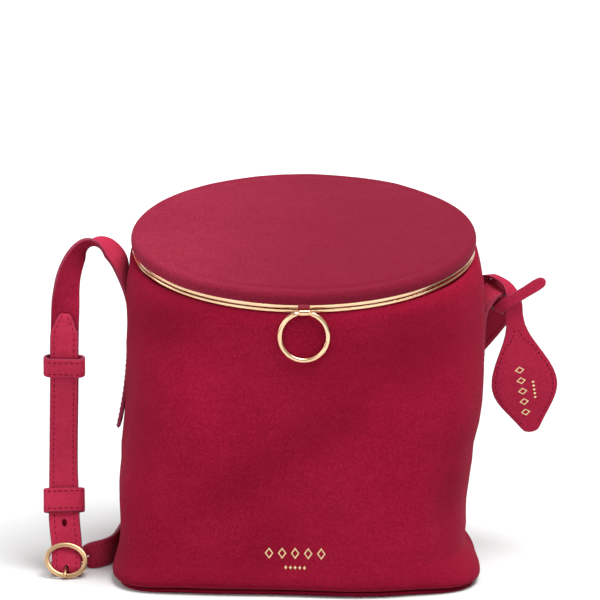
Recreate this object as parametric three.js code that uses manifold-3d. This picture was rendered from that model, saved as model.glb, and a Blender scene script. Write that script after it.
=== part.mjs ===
// Bucket bag: a soft oval suede bag with a slanted hinged lid, a ring pull, a crossbody strap
// with a centre-bar buckle, and a knotted hang tag.
// Millimetres. +X is to the right, +Y to the back, +Z up. The origin is the middle of the flat base.

import * as THREE from 'three';
import { mergeVertices } from 'three/addons/utils/BufferGeometryUtils.js';
import Module from 'manifold-3d';

const wasm = await Module();
wasm.setup();

// ---------------------------------------------------------------- driving dimensions

const DEGREE = Math.PI / 180;
const GAP = 0.35; // clearance between pieces that touch

// Squareness 2 is a plain ellipse. A higher number gives fuller corners.
const BASE = { halfWidth: 92.5, halfDepth: 66, squareness: 4.2, edge: 2.35, leather: 1.6, board: 1.6 };
const MOUTH = {
  halfWidth: 91.4, halfDepth: 71.4, squareness: 2, tilt: 20 * DEGREE, x: 3.7, y: 0.9, z: 174.5,
};

const WALL = {
  foot: 2.75, drop: 2.5, overhang: 1.2, leather: 1.8, flare: 4.4, flareAt: 0.026, swell: 1.2, sway: 2.5,
};
const LINING = { inset: 2.6, cloth: 0.8, foot: 0.01, head: 0.93 };
const FACING = { inset: 3.9, leather: 1, foot: 0.86, head: 0.965 };
const POCKET = { inset: 4.2, cloth: 0.8, foot: 0.35, head: 0.75, from: 58 * DEGREE, to: 122 * DEGREE };

const RIM = { height: 1.8, split: 0.25, ledge: 2.4, width: 3.4, flange: 4.25 };
const HINGE = {
  v: 74.8, radius: 1.8, bore: 1.05, pin: 0.75, head: 1.3, headWidth: 0.8, lidKnuckle: 10, length: 28,
  plate: 0.9, plateHeight: 1.5, lug: 1.2, split: 0.4,
};
const LID = {
  foot: 2.6, height: 6.3, crown: 1.4, crownReach: 46, leather: 1.2, board: 2.1, inset: 3.8, proud: 0.8,
};
const MAGNET = { width: 24, depth: 5, height: 1.4, v: -60 };

const PULL = { width: 6, leather: 1, barrel: 1.7, bore: 1.05, pin: 0.75, v: -74.8, rise: -0.2 };
const RING = { radius: 12.3, wire: 1.33, gap: 3.4 };

const STRAP = { width: 15, leather: 2, seam: 0.6, step: 8, hole: 1.4, holePitch: 25, holes: 5 };
const KEEPER = { width: 18.2, depth: 6, leather: 1.9, height: 10, corner: 1.6 };
const BUCKLE = {
  x: -123, y: -31, z: 9.3, lean: 28 * DEGREE, roll: -12 * DEGREE,
  halfWidth: 10.35, halfHeight: 8.35, band: 1.35, half: 0.95, bar: 0.9, barBack: 6.6, loop: 1,
};
const PRONG = { width: 2.6, wire: 0.8, collar: 2.1, bore: 1.2 };
const TAG = {
  x: 117, y: -6.5, z: 133.5, swing: 9 * DEGREE, length: 60.4, halfWidth: 17.7, neck: 5.2, leather: 1.2,
};
const THONG = { width: 6.2, leather: 1.5, step: 3, widens: 0.86 };

const AROUND = 48; // steps round an oval
const PANEL_ROWS = [0, 0.015, 0.03, 0.06, 0.12, 0.25, 0.45, 0.65, 0.85, 1];
const LINING_ROWS = PANEL_ROWS.slice(3, -1);

const COLOUR = { suede: 0x9c1c3a, lining: 0x7c2038, leather: 0xa92a48, board: 0x8a7a66, foam: 0xd8d2c4,
  gold: 0xd9b878, steel: 0x9a9a9a };

// ---------------------------------------------------------------- building solids

const vector = (x, y, z) => new THREE.Vector3(x, y, z);

// Turns a point list and a triangle list into a geometry whose faces point outwards.
function closedGeometry(points, triangles) {
  let volume = 0;
  for (let i = 0; i < triangles.length; i += 3) {
    const [a, b, c] = [points[triangles[i]], points[triangles[i + 1]], points[triangles[i + 2]]];
    volume += a.dot(b.clone().cross(c));
  }
  if (volume < 0) triangles.reverse();
  const geometry = new THREE.BufferGeometry();
  geometry.setAttribute('position', new THREE.Float32BufferAttribute(points.flatMap((p) => p.toArray()), 3));
  geometry.setIndex(triangles);
  return geometry;
}

// Joins a row of closed rings, each with the same number of points, into one solid.
// A fan cap closes a round end. A strip cap closes the end of a thin bent section.
function loft(rings, { closed = false, cap = 'fan' } = {}) {
  const count = rings[0].length;
  const points = rings.flat();
  const triangles = [];
  const quad = (a, b, c, d) => triangles.push(a, b, c, a, c, d);
  for (let row = 0; row < rings.length - (closed ? 0 : 1); row++) {
    const here = row * count;
    const next = ((row + 1) % rings.length) * count;
    for (let i = 0; i < count; i++) {
      const j = (i + 1) % count;
      quad(here + i, here + j, next + j, next + i);
    }
  }
  const last = (rings.length - 1) * count;
  const ends = closed ? [] : [{ start: 0, first: true }, { start: last, first: false }];
  for (const { start, first } of ends) {
    if (cap === 'fan') {
      const middle = points.length;
      const ring = points.slice(start, start + count);
      points.push(ring.reduce((sum, p) => sum.add(p), vector(0, 0, 0)).divideScalar(count));
      for (let i = 0; i < count; i++) {
        const [a, b] = [start + i, start + (i + 1) % count];
        triangles.push(middle, first ? b : a, first ? a : b);
      }
    } else {
      for (let i = 0; i < count / 2 - 1; i++) {
        const [a, b, c, d] = [start + i, start + count - 1 - i, start + count - 2 - i, start + i + 1];
        if (first) quad(a, b, c, d);
        else quad(d, c, b, a);
      }
    }
  }
  return closedGeometry(points, triangles);
}

function toManifold(geometry) {
  const bare = geometry.clone();
  for (const name of Object.keys(bare.attributes)) if (name !== 'position') bare.deleteAttribute(name);
  const merged = mergeVertices(bare, 1e-4);
  return new wasm.Manifold(new wasm.Mesh({
    numProp: 3,
    vertProperties: Float32Array.from(merged.attributes.position.array),
    triVerts: Uint32Array.from(merged.index.array),
  }));
}

function toGeometry(solid) {
  const mesh = solid.getMesh();
  const geometry = new THREE.BufferGeometry();
  geometry.setAttribute('position', new THREE.BufferAttribute(Float32Array.from(mesh.vertProperties), 3));
  geometry.setIndex(Array.from(mesh.triVerts));
  return geometry;
}

const join = (...geometries) => toGeometry(geometries.map(toManifold).reduce((sum, next) => sum.add(next)));
const cut = (body, ...tools) => toGeometry(
  tools.map(toManifold).reduce((rest, tool) => rest.subtract(tool), toManifold(body)),
);

const box = (x, y, z, at) => new THREE.BoxGeometry(x, y, z).translate(at.x, at.y, at.z);
const rodX = (radius, length, x, y, z) => new THREE.CylinderGeometry(radius, radius, length, 16)
  .rotateZ(Math.PI / 2).translate(x, y, z);

// ---------------------------------------------------------------- ovals and the wall

function ovalPoint(oval, angle, inset = 0) {
  const [c, s] = [Math.cos(angle), Math.sin(angle)];
  const reach = (Math.abs(c) ** oval.squareness + Math.abs(s) ** oval.squareness) ** (-1 / oval.squareness);
  return [(oval.halfWidth - inset) * reach * c, (oval.halfDepth - inset) * reach * s];
}

const turn = (count, at) => Array.from({ length: count }, (_, i) => at(i * 2 * Math.PI / count));

// A solid whose section, a list of [inset, height], is carried round an oval.
function ovalSolid(oval, section, options) {
  const ring = ([inset, height]) => turn(AROUND, (angle) => vector(...ovalPoint(oval, angle, inset), height));
  return loft(section.map(ring), options);
}

// The mouth plane: local X and Y lie in the mouth, local Z stands off it.
const mouthPlane = new THREE.Group();
mouthPlane.position.set(MOUTH.x, MOUTH.y, MOUTH.z);
mouthPlane.rotation.x = MOUTH.tilt;
mouthPlane.updateMatrix();

// The wall runs from the base seam (level 0) to the mouth (level 1) and bulges softly between them.
function wallPoint(angle, level, inset) {
  const foot = vector(...ovalPoint(BASE, angle, inset), WALL.foot);
  const head = vector(...ovalPoint(MOUTH, angle, inset - WALL.overhang), -WALL.drop);
  head.applyMatrix4(mouthPlane.matrix);
  const rise = level / WALL.flareAt;
  const bulge = WALL.flare * rise * Math.exp(1 - rise) + WALL.swell * Math.sin(Math.PI * level);
  const point = foot.lerp(head, level);
  point.x += Math.cos(angle) * bulge + WALL.sway * Math.sin(2 * Math.PI * (level - 0.5));
  point.y += Math.sin(angle) * bulge;
  return point;
}

const wallRing = (level, inset) => turn(AROUND, (angle) => wallPoint(angle, level, inset));

// A sheet that lies along the wall between two angles and two insets.
function wallSheet(levels, inset, thickness, from, to, steps) {
  const arc = (level, depth) => Array.from({ length: steps + 1 },
    (_, i) => wallPoint(from + (to - from) * i / steps, level, depth));
  const section = (level) => [...arc(level, inset), ...arc(level, inset + thickness).reverse()];
  return loft(levels.map(section), { cap: 'strip' });
}

// ---------------------------------------------------------------- ribbons

// A ribbon's stations are [position, direction across the ribbon]. The good face is along x across.
function ribbonFrames(stations, step) {
  const path = new THREE.CatmullRomCurve3(stations.map(([at]) => vector(...at)));
  const across = new THREE.CatmullRomCurve3(stations.map(([, side]) => vector(...side)));
  const frames = [];
  const segments = stations.length - 1;
  for (let i = 0; i < segments; i++) {
    const [from, to] = [stations[i][0], stations[i + 1][0]];
    const steps = Math.max(1, Math.round(vector(...from).distanceTo(vector(...to)) / step));
    for (let k = 0; k < steps + (i === segments - 1 ? 1 : 0); k++) {
      const t = (i + k / steps) / segments;
      const before = path.getPoint(Math.max(0, t - 0.001));
      const along = path.getPoint(Math.min(1, t + 0.001)).sub(before).normalize();
      const side = across.getPoint(t);
      side.addScaledVector(along, -side.dot(along)).normalize();
      frames.push({ at: path.getPoint(t), along, side, face: along.clone().cross(side) });
    }
  }
  return frames;
}

function ribbon(frames, widthAt, thickness) {
  return loft(frames.map(({ at, side, face }, i) => {
    const half = widthAt(i / (frames.length - 1)) / 2;
    const corner = (a, b) => at.clone().addScaledVector(side, a * half)
      .addScaledVector(face, b * thickness / 2);
    return [corner(-1, 1), corner(1, 1), corner(1, -1), corner(-1, -1)];
  }), { cap: 'strip' });
}

// The placement that takes local X across a ribbon, Y out of its good face and Z along it.
function frameMatrix({ at, along, side, face }) {
  return new THREE.Matrix4().makeBasis(side, face, along).setPosition(at);
}

function nearestFrame(frames, height) {
  const miss = ({ at }) => Math.abs(at.z - height);
  return frames.reduce((best, frame) => (miss(frame) < miss(best) ? frame : best));
}

// ---------------------------------------------------------------- the scene graph

const bag = new THREE.Group();
bag.add(mouthPlane);

function add(parent, name, geometry, color, roughness = 0.9, metalness = 0) {
  const mesh = new THREE.Mesh(geometry, new THREE.MeshStandardMaterial({ color, roughness, metalness }));
  mesh.name = name;
  parent.add(mesh);
  return mesh;
}

// ---------------------------------------------------------------- body

function addBody() {
  const seam = 0.15 * DEGREE;
  const panel = (from, to) => wallSheet(PANEL_ROWS, 0, WALL.leather, from, to, AROUND / 2);
  add(bag, 'front_panel', panel(-Math.PI + seam, -seam), COLOUR.suede);
  add(bag, 'back_panel', panel(seam, Math.PI - seam), COLOUR.suede);

  const { leather, edge, board } = BASE;
  const band = [[2.5, 0], [0.6, 0.7], [0, leather], [0.4, edge], [2.2, edge], [2.2, leather]];
  add(bag, 'base_panel', ovalSolid(BASE, band), COLOUR.suede);
  const boardFoot = leather + GAP;
  add(bag, 'base_board', ovalSolid(BASE, [[2.8, boardFoot], [2.8, boardFoot + board]]), COLOUR.board);

  const rows = [LINING.foot, ...LINING_ROWS, LINING.head];
  const inside = [...rows].reverse();
  inside[inside.length - 1] = LINING.foot + LINING.cloth / 150;
  add(bag, 'body_lining', loft([
    ...rows.map((level) => wallRing(level, LINING.inset)),
    ...inside.map((level) => wallRing(level, LINING.inset + LINING.cloth)),
  ]), COLOUR.lining);

  const facing = (level, extra) => wallRing(level, FACING.inset + extra);
  const { foot, head } = FACING;
  add(bag, 'mouth_facing', loft([facing(foot, 0), facing(head, 0), facing(head, FACING.leather),
    facing(foot, FACING.leather)], { closed: true }), COLOUR.leather);
  add(bag, 'slip_pocket', wallSheet([POCKET.foot, 0.45, 0.65, POCKET.head], POCKET.inset, POCKET.cloth,
    POCKET.from, POCKET.to, 14), COLOUR.lining);
}

// ---------------------------------------------------------------- rims and hinge

// An L section: a visible ledge at the split between the rims and a flange behind the leather.
function rimSection(sign) {
  const [near, far] = [RIM.split, RIM.split + RIM.height];
  return [[0, near], [0, far], [RIM.ledge, far], [RIM.ledge, far + RIM.flange], [RIM.width, far + RIM.flange],
    [RIM.width, near]].map(([inset, height]) => [inset, sign * height]);
}

// One leaf: a plate soldered to the rim, lugs and knuckles. Sign is +1 on the lid, -1 on the body.
function hingeLeaf(sign, plateLength, knuckles) {
  const { plate, plateHeight, lug, split } = HINGE;
  const rim = MOUTH.halfDepth + GAP;
  const middle = sign * (split + plateHeight / 2);
  const lugDepth = HINGE.v - rim - split;
  const parts = [box(plateLength, plate, plateHeight, vector(0, rim + plate / 2, middle))];
  for (const [x, length] of knuckles) {
    parts.push(rodX(HINGE.radius, length, x, HINGE.v, 0));
    parts.push(box(length, lugDepth, lug, vector(x, rim + split + lugDepth / 2, middle)));
  }
  return cut(join(...parts), ...knuckles.map(([x, length]) => rodX(HINGE.bore, length + 2, x, HINGE.v, 0)));
}

function addRims() {
  add(mouthPlane, 'mouth_frame', ovalSolid(MOUTH, rimSection(-1), { closed: true }), COLOUR.gold, 0.25, 1);
  add(mouthPlane, 'lid_frame', ovalSolid(MOUTH, rimSection(1), { closed: true }), COLOUR.gold, 0.25, 1);
  const outer = (HINGE.length - HINGE.lidKnuckle) / 2 - GAP;
  const outerX = (HINGE.length - outer) / 2;
  const bodyLeaf = hingeLeaf(-1, HINGE.length, [[-outerX, outer], [outerX, outer]]);
  add(mouthPlane, 'hinge_leaf_body', bodyLeaf, COLOUR.gold, 0.3, 1);
  const lidLeaf = hingeLeaf(1, HINGE.lidKnuckle, [[0, HINGE.lidKnuckle]]);
  add(mouthPlane, 'hinge_leaf_lid', lidLeaf, COLOUR.gold, 0.3, 1);
  const { head, headWidth } = HINGE;
  const headX = HINGE.length / 2 + GAP + headWidth / 2;
  const pin = join(rodX(HINGE.pin, 2 * headX, 0, HINGE.v, 0), rodX(head, headWidth, headX, HINGE.v, 0),
    rodX(head, headWidth, -headX, HINGE.v, 0));
  add(mouthPlane, 'hinge_pin', pin, COLOUR.gold, 0.3, 1);
}

// ---------------------------------------------------------------- lid

function addLid() {
  const top = LID.foot + LID.height;
  const roof = top - LID.leather;
  const { crownReach, proud } = LID;
  const crowned = (inset, height) => [inset, height + LID.crown * Math.min(1, inset / crownReach)];
  const under = [crowned(crownReach, roof), crowned(20, roof), [1.2, roof], [0.7, roof - 1], [0.5, LID.foot]];
  const over = [[-proud, LID.foot], [-proud, top - 1.9], [-0.3, top - 0.7], [1, top], crowned(20, top),
    crowned(crownReach, top)];
  const cover = ovalSolid(MOUTH, [...under, ...over]);
  const notch = box(PULL.width + 0.8, 4, 1.9, vector(0, -MOUTH.halfDepth, LID.foot + 0.5));
  add(mouthPlane, 'lid_cover', cut(cover, notch), COLOUR.suede);

  const boardFoot = LID.foot + GAP;
  const boardTop = boardFoot + LID.board;
  const pocket = box(MAGNET.width + 2 * GAP, MAGNET.depth + 2 * GAP, 2 * (MAGNET.height + GAP),
    vector(0, MAGNET.v, boardFoot));
  const board = ovalSolid(MOUTH, [[LID.inset, boardFoot], [LID.inset, boardTop]]);
  add(mouthPlane, 'lid_board', cut(board, pocket), COLOUR.board);
  add(mouthPlane, 'lid_magnet', box(MAGNET.width, MAGNET.depth, MAGNET.height,
    vector(0, MAGNET.v, boardFoot + MAGNET.height / 2)), COLOUR.steel, 0.4, 1);
  add(mouthPlane, 'lid_padding', ovalSolid(MOUTH, [[LID.inset, boardTop + GAP], [LID.inset, 6.6],
    crowned(20, roof - 0.4), crowned(crownReach, roof - 0.4)]), COLOUR.foam);
  add(mouthPlane, 'lid_lining', ovalSolid(MOUTH, [[LID.inset, 1.8], [LID.inset, 2.5]]), COLOUR.lining);
}

// ---------------------------------------------------------------- ring pull

function addPull() {
  // The tab starts behind the lid's wall, comes out through its notch and hangs over both rims.
  const face = MOUTH.halfDepth + 0.4;
  const { leather } = PULL;
  const inner = MOUTH.halfDepth - 2.0;
  const low = LID.foot + 0.1;
  const outline = new THREE.Shape([
    [inner, low], [inner, low + 3.4], [inner + leather, low + 3.4], [inner + leather, low + leather],
    [face + leather, low + leather], [face + leather, -1.6], [face, -1.6], [face, low],
  ].map(([x, y]) => new THREE.Vector2(x, y)));
  const tab = new THREE.ExtrudeGeometry(outline, { depth: PULL.width, bevelEnabled: false });
  tab.rotateX(Math.PI / 2).rotateZ(-Math.PI / 2).translate(PULL.width / 2, 0, 0);
  add(mouthPlane, 'pull_tab', tab, COLOUR.leather);
  add(mouthPlane, 'ring_barrel', cut(rodX(PULL.barrel, PULL.width, 0, PULL.v, PULL.rise),
    rodX(PULL.bore, PULL.width + 2, 0, PULL.v, PULL.rise)), COLOUR.gold, 0.2, 1);

  // The ring hangs plumb from the barrel. Its top is necked down to a pin that runs in the barrel.
  const axis = vector(0, PULL.v, PULL.rise).applyMatrix4(mouthPlane.matrix);
  const hoop = new THREE.TorusGeometry(RING.radius, RING.wire, 8, 40).rotateX(Math.PI / 2)
    .translate(0, 0, -RING.radius);
  const mouth = box(2 * RING.gap, 8, 8, vector(0, 0, 0));
  const ring = join(cut(hoop, mouth), rodX(PULL.pin, 2 * RING.gap + 1, 0, 0, 0));
  add(bag, 'pull_ring', ring, COLOUR.gold, 0.2, 1).position.copy(axis);
}

// ---------------------------------------------------------------- strap, buckle and keepers

const sewnAt = (angle, level) => wallPoint(angle, level, -(STRAP.leather / 2 + STRAP.seam)).toArray();

// The buckle's own axes: across, up its face, and out of its face.
const buckleUp = vector(0, Math.sin(BUCKLE.lean), Math.cos(BUCKLE.lean));
const buckleOut = vector(0, -Math.cos(BUCKLE.lean), Math.sin(BUCKLE.lean));
const onBuckle = (across, up, out) => vector(BUCKLE.x + across, BUCKLE.y, BUCKLE.z)
  .addScaledVector(buckleUp, up).addScaledVector(buckleOut, out);

// The strap stack hangs on the left. Below the arch it is straight, then it curls forward to the buckle.
const HANG = [[-122.7, -19.2, 141], [-123.3, -19.5, 124], [-123.8, -17, 105], [-124.7, -13.6, 82],
  [-125.4, -10.8, 60], [-125.2, -13, 43], [-124.6, -18.4, 27]];

// Short strap: sewn on the left, over an arch that turns its good face to the front, down to the buckle.
const SHORT_STATIONS = [
  [[sewnAt(Math.PI, 0.44)[0] - 3.4, 2, 76], [0, 1, 0]],
  ...[0.56, 0.68, 0.8].map((level) => [sewnAt(Math.PI, level), [0, 1, 0]]),
  [[-90.6, 0.2, 149], [0.1, 0.97, 0.1]],
  [[-92.6, 0, 158], [0.25, 0.93, 0.27]],
  [[-95.2, -1.4, 169], [0.36, 0.72, 0.6]],
  [[-101, -3.6, 174.6], [0.25, 0.78, 0.56]],
  [[-107.2, -6.5, 177], [0.1, 0.9, -0.42]],
  [[-112.6, -10, 175.6], [0.16, 0.78, -0.62]],
  [[-117.4, -14.2, 169.5], [0.42, 0.66, -0.62]],
  [[-120.8, -17, 160.5], [0.72, 0.6, -0.33]],
  [[-122.2, -18.4, 151], [0.88, 0.46, -0.1]],
  ...HANG.map((at) => [at, [1, 0, 0]]),
  [onBuckle(-0.3, 8.8, -5.2).toArray(), [1, 0, 0]],
  [onBuckle(0, 2, -7.4).toArray(), [1, 0, 0]],
];
const HANG_FIRST = SHORT_STATIONS.length - HANG.length - 2; // the first station of the hanging stretch

// Long strap: sewn on the right, over a small arch, down behind the bag, in loose folds on the floor,
// round the left side, up through the buckle and over the short strap.
const overShort = (at, [dy, dz]) => [at[0], at[1] + dy, at[2] + dz];
const STACK = STRAP.leather + 0.45;
const FLOOR = STRAP.width / 2 + 0.4;
const LONG_STATIONS = [
  ...[0.5, 0.6, 0.7, 0.76].map((level) => [sewnAt(0, level), [0, -1, 0]]),
  [[101.4, 0.6, 141], [0.05, -0.96, -0.2]],
  [[106.6, 4.4, 149.5], [0.3, -0.85, -0.35]],
  [[113, 11.5, 150.5], [0.6, -0.55, -0.5]],
  [[115.5, 20.5, 143], [0.85, -0.45, -0.15]],
  [[108.5, 30, 130], [0.95, -0.15, -0.25]],
  [[99, 42, 115.5], [0.92, -0.2, -0.35]],
  [[90.5, 55, 102.5], [0.92, -0.3, -0.3]],
  [[85, 67, 88], [0.93, -0.3, -0.2]],
  [[82, 78, 69], [0.95, -0.2, -0.2]],
  [[79, 85.5, 47], [0.93, 0, -0.3]],
  [[74, 88, 27], [0.7, 0, -0.7]],
  [[65, 88.5, 11.5], [0.25, 0, -1]],
  ...[[48, 89], [20, 88], [-30, 89], [-58, 88], [-66.5, 96], [-58, 104], [-20, 105], [20, 104], [50, 105],
    [58.5, 113], [50, 121], [10, 120], [-40, 120], [-74, 110], [-89, 88], [-94, 63], [-97, 38],
    [-98.7, 14], [-100.8, -1], [-104.6, -9.2]].map((at) => [[...at, FLOOR], [0, 0, -1]]),
  [[-110.4, -13.8, 7.7], [-0.1, 0.05, -1]],
  [[-116.6, -15, 6.3], [-0.5, 0.55, -0.65]],
  [[-121.5, -17, 3.4], [-0.8, 0.7, -0.1]],
  [[-123, -21, 1.8], [-1, 0.2, 0]],
  [[-123, -28.4, 1.5], [-1, 0, 0]],
  [[-123, -30.8, 2.3], [-1, 0, 0]],
  [onBuckle(0, -4.4, -2.7).toArray(), [-1, 0, 0]],
  [onBuckle(0, 0, -2.65).toArray(), [-1, 0, 0]],
  [onBuckle(-0.2, 8.8, -2.7).toArray(), [-1, 0, 0]],
  [overShort(HANG[6], [-STACK * 0.93, STACK * 0.37]), [-1, 0, 0]],
  [overShort(HANG[5], [-STACK * 0.98, STACK * 0.2]), [-1, 0, 0]],
  ...[4, 3, 2, 1].map((i) => [overShort(HANG[i], [-STACK * 0.99, -STACK * 0.14]), [-1, 0, 0]]),
  [overShort(HANG[0], [-STACK, 0]), [-1, 0, 0]],
];
const SEAT = { prong: -4.75, keeperUpper: 112.8, keeperLower: 40 };

function distanceAlong(frames) {
  let total = 0;
  return frames.map((frame, i) => {
    if (i > 0) total += frame.at.distanceTo(frames[i - 1].at);
    return total;
  });
}

// One hole through the strap at a distance along it, longer along the strap than across.
function strapHole(frames, lengths, distance, stretch) {
  const i = lengths.findIndex((length) => length >= distance);
  const mix = (distance - lengths[i - 1]) / (lengths[i] - lengths[i - 1]);
  const at = frames[i - 1].at.clone().lerp(frames[i].at, mix);
  const drill = new THREE.CylinderGeometry(STRAP.hole, STRAP.hole, 3 * STRAP.leather, 12);
  drill.scale(1, 1, stretch);
  return drill.applyMatrix4(frameMatrix({ ...frames[i], at }));
}

function keeper(frame) {
  const oblong = (halfWidth, halfDepth, radius) => {
    const shape = new THREE.Path();
    const corners = [[1, 1, 0], [-1, 1, 90], [-1, -1, 180], [1, -1, 270]];
    for (const [x, y, from] of corners) {
      const [cx, cy] = [x * (halfWidth - radius), y * (halfDepth - radius)];
      shape.absarc(cx, cy, radius, from * DEGREE, (from + 90) * DEGREE);
    }
    return shape.getPoints(3);
  };
  const { leather, height, corner } = KEEPER;
  const [halfWidth, halfDepth] = [KEEPER.width / 2, KEEPER.depth / 2];
  const outline = new THREE.Shape(oblong(halfWidth + leather, halfDepth + leather, corner + leather));
  outline.holes.push(new THREE.Path(oblong(halfWidth, halfDepth, corner)));
  const extrusion = { depth: height, bevelEnabled: false, curveSegments: 1 };
  const geometry = new THREE.ExtrudeGeometry(outline, extrusion);
  return geometry.translate(0, 0, -height / 2).applyMatrix4(frameMatrix(frame));
}

function buckleFrame() {
  const ring = loft(turn(32, (angle) => turn(6, (spin) => {
    const reach = BUCKLE.band * Math.cos(spin);
    const x = (BUCKLE.halfWidth + reach) * Math.cos(angle);
    const y = (BUCKLE.halfHeight + reach) * Math.sin(angle);
    const flat = new THREE.Vector2(x, y).rotateAround(new THREE.Vector2(0, 0), BUCKLE.roll);
    return onBuckle(flat.x, flat.y, BUCKLE.half * Math.sin(spin));
  })), { closed: true });
  const upright = new THREE.Matrix4().makeBasis(vector(1, 0, 0), buckleUp, buckleOut);
  upright.setPosition(onBuckle(0, 0, 0));
  const reach = 2 * BUCKLE.halfWidth;
  const bar = rodX(BUCKLE.bar, reach + BUCKLE.bar, 0, 0, -BUCKLE.barBack).applyMatrix4(upright);
  const posts = [-1, 1].map((side) => new THREE.CylinderGeometry(BUCKLE.bar, BUCKLE.bar, BUCKLE.barBack, 12)
    .rotateX(Math.PI / 2).translate(side * BUCKLE.halfWidth, 0, -BUCKLE.barBack / 2).applyMatrix4(upright));
  return join(ring, bar, ...posts);
}

function prong() {
  const wire = [[-1.7, -6.5], [-3.7, -5.6], [-4.6, -4.2], [-4.9, -1.5], [-5.7, 0.7], [-7.2, 2], [-8.6, 2.3],
    [-9.8, 1.8]];
  const path = new THREE.CatmullRomCurve3(wire.map(([up, out]) => onBuckle(0, up, out)));
  const shank = loft(Array.from({ length: 11 }, (_, i) => {
    const [at, along] = [path.getPoint(i / 10), path.getTangent(i / 10)];
    const side = vector(1, 0, 0);
    const face = along.clone().cross(side);
    return turn(6, (angle) => at.clone().addScaledVector(side, PRONG.wire * Math.cos(angle))
      .addScaledVector(face, PRONG.wire * Math.sin(angle)));
  }));
  const bar = onBuckle(0, 0, -BUCKLE.barBack);
  const collar = rodX(PRONG.collar, PRONG.width, bar.x, bar.y, bar.z);
  return cut(join(collar, shank), rodX(PRONG.bore, PRONG.width + 2, bar.x, bar.y, bar.z));
}

function addStrap() {
  const shortFrames = ribbonFrames(SHORT_STATIONS, STRAP.step);
  const longFrames = ribbonFrames(LONG_STATIONS, STRAP.step);
  const width = () => STRAP.width;

  // The short strap ends in a thinned loop round the buckle's bar, with a slot for the prong.
  const bar = onBuckle(0, 0, -BUCKLE.barBack);
  const loop = rodX(BUCKLE.bar + GAP + BUCKLE.loop, STRAP.width - 1, bar.x, bar.y, bar.z);
  const bore = rodX(BUCKLE.bar + GAP, STRAP.width + 2, bar.x, bar.y, bar.z);
  const slot = box(PRONG.width + 0.8, 8, 7, bar);
  const short = cut(join(ribbon(shortFrames, width, STRAP.leather), loop), bore, slot);
  add(bag, 'strap_short', short, COLOUR.suede);

  // The tip of the long strap narrows to a blunt point.
  const tipLength = 12;
  const lengths = distanceAlong(longFrames);
  const whole = lengths[lengths.length - 1];
  const taper = (t) => STRAP.width * Math.min(1, 0.42 + 0.58 * (1 - t) * whole / tipLength);
  const seat = onBuckle(0, SEAT.prong, -2.7);
  const fromSeat = longFrames.map(({ at }) => at.distanceTo(seat));
  const seatIndex = fromSeat.indexOf(Math.min(...fromSeat));
  const holes = Array.from({ length: STRAP.holes }, (_, i) => strapHole(longFrames, lengths,
    lengths[seatIndex] + STRAP.holePitch * (1 - i), i === 1 ? 1.9 : 1.3));
  add(bag, 'strap_long', cut(ribbon(longFrames, taper, STRAP.leather), ...holes), COLOUR.suede);

  const betweenLayers = (frame) => (
    { ...frame, at: frame.at.clone().addScaledVector(frame.face, STACK / 2) });
  const hanging = ribbonFrames(SHORT_STATIONS.slice(HANG_FIRST), 0.5);
  for (const [name, height] of [['keeper_upper', SEAT.keeperUpper], ['keeper_lower', SEAT.keeperLower]]) {
    add(bag, name, keeper(betweenLayers(nearestFrame(hanging, height))), COLOUR.suede);
  }
  add(bag, 'buckle_frame', buckleFrame(), COLOUR.gold, 0.2, 1);
  add(bag, 'buckle_prong', prong(), COLOUR.gold, 0.2, 1);
}

// ---------------------------------------------------------------- hang tag

// From the free tail, under the strap, over its top and down to the neck of the tag.
const THONG_STATIONS = [
  [[132.4, -9.6, 157.3], [-0.48, 0, 0.87]],
  [[127.1, -10, 154.1], [-0.48, 0, 0.87]],
  [[119.1, -10.3, 149.2], [-0.48, 0, 0.87]],
  [[112.2, -9.6, 145.1], [-0.5, 0, 0.85]],
  [[108.6, -5.2, 141.2], [-0.7, 0.2, 0.65]],
  [[108.6, 3, 138.5], [-0.95, 0, 0.3]],
  [[108.6, 11.5, 140.5], [-1, 0, 0]],
  [[104.6, 18.8, 147.3], [-1, 0, -0.2]],
  [[101.8, 17.6, 154.2], [-0.97, -0.2, 0.1]],
  [[104, 12, 157.6], [-0.8, -0.55, 0]],
  [[108.2, 6, 156.6], [-0.65, -0.72, 0]],
  [[112.8, 0, 153.4], [-0.65, -0.7, -0.1]],
  [[115.4, -4.2, 148.8], [-0.9, -0.35, 0]],
  [[116.4, -6.2, 143.5], [-1, -0.1, 0.1]],
  [[116.3, -6.5, 138], [-1, 0, 0.15]],
  [[TAG.x - 0.2, TAG.y, TAG.z - 3], [-1, 0, 0.15]],
];

function tagPlate(leather, back, neckTrim) {
  const { halfWidth: w, length, neck } = TAG;
  const outline = new THREE.Shape();
  outline.moveTo(-neck, neckTrim);
  outline.bezierCurveTo(-neck - 0.4, -10, -w, -22, -w, -33.5);
  outline.bezierCurveTo(-w, -43, -7.5, -length + 8, -4.6, -length + 3.4);
  outline.quadraticCurveTo(-2.6, -length, 0, -length);
  outline.quadraticCurveTo(2.6, -length, 4.6, -length + 3.4);
  outline.bezierCurveTo(7.5, -length + 8, w, -43, w, -33.5);
  outline.bezierCurveTo(w, -22, neck + 0.4, -10, neck, neckTrim);
  const plate = new THREE.ExtrudeGeometry(outline, { depth: leather, bevelEnabled: false, curveSegments: 8 });
  return plate.rotateX(Math.PI / 2).rotateY(-TAG.swing).translate(TAG.x, TAG.y + back, TAG.z);
}

function addTag() {
  const frames = ribbonFrames(THONG_STATIONS, THONG.step);
  const { width: narrow, widens } = THONG;
  const width = (t) => narrow + (2 * TAG.neck - narrow) * Math.max(0, t - widens) / (1 - widens);
  const front = tagPlate(TAG.leather, TAG.leather / 2, 0);
  add(bag, 'hang_tag', join(front, ribbon(frames, width, THONG.leather)), COLOUR.suede);
  const backing = tagPlate(TAG.leather - 0.3, TAG.leather + THONG.leather - 0.2, -4);
  add(bag, 'hang_tag_backing', backing, COLOUR.leather);
}

addBody();
addRims();
addLid();
addPull();
addStrap();
addTag();

export default bag;
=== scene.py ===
import math

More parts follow.
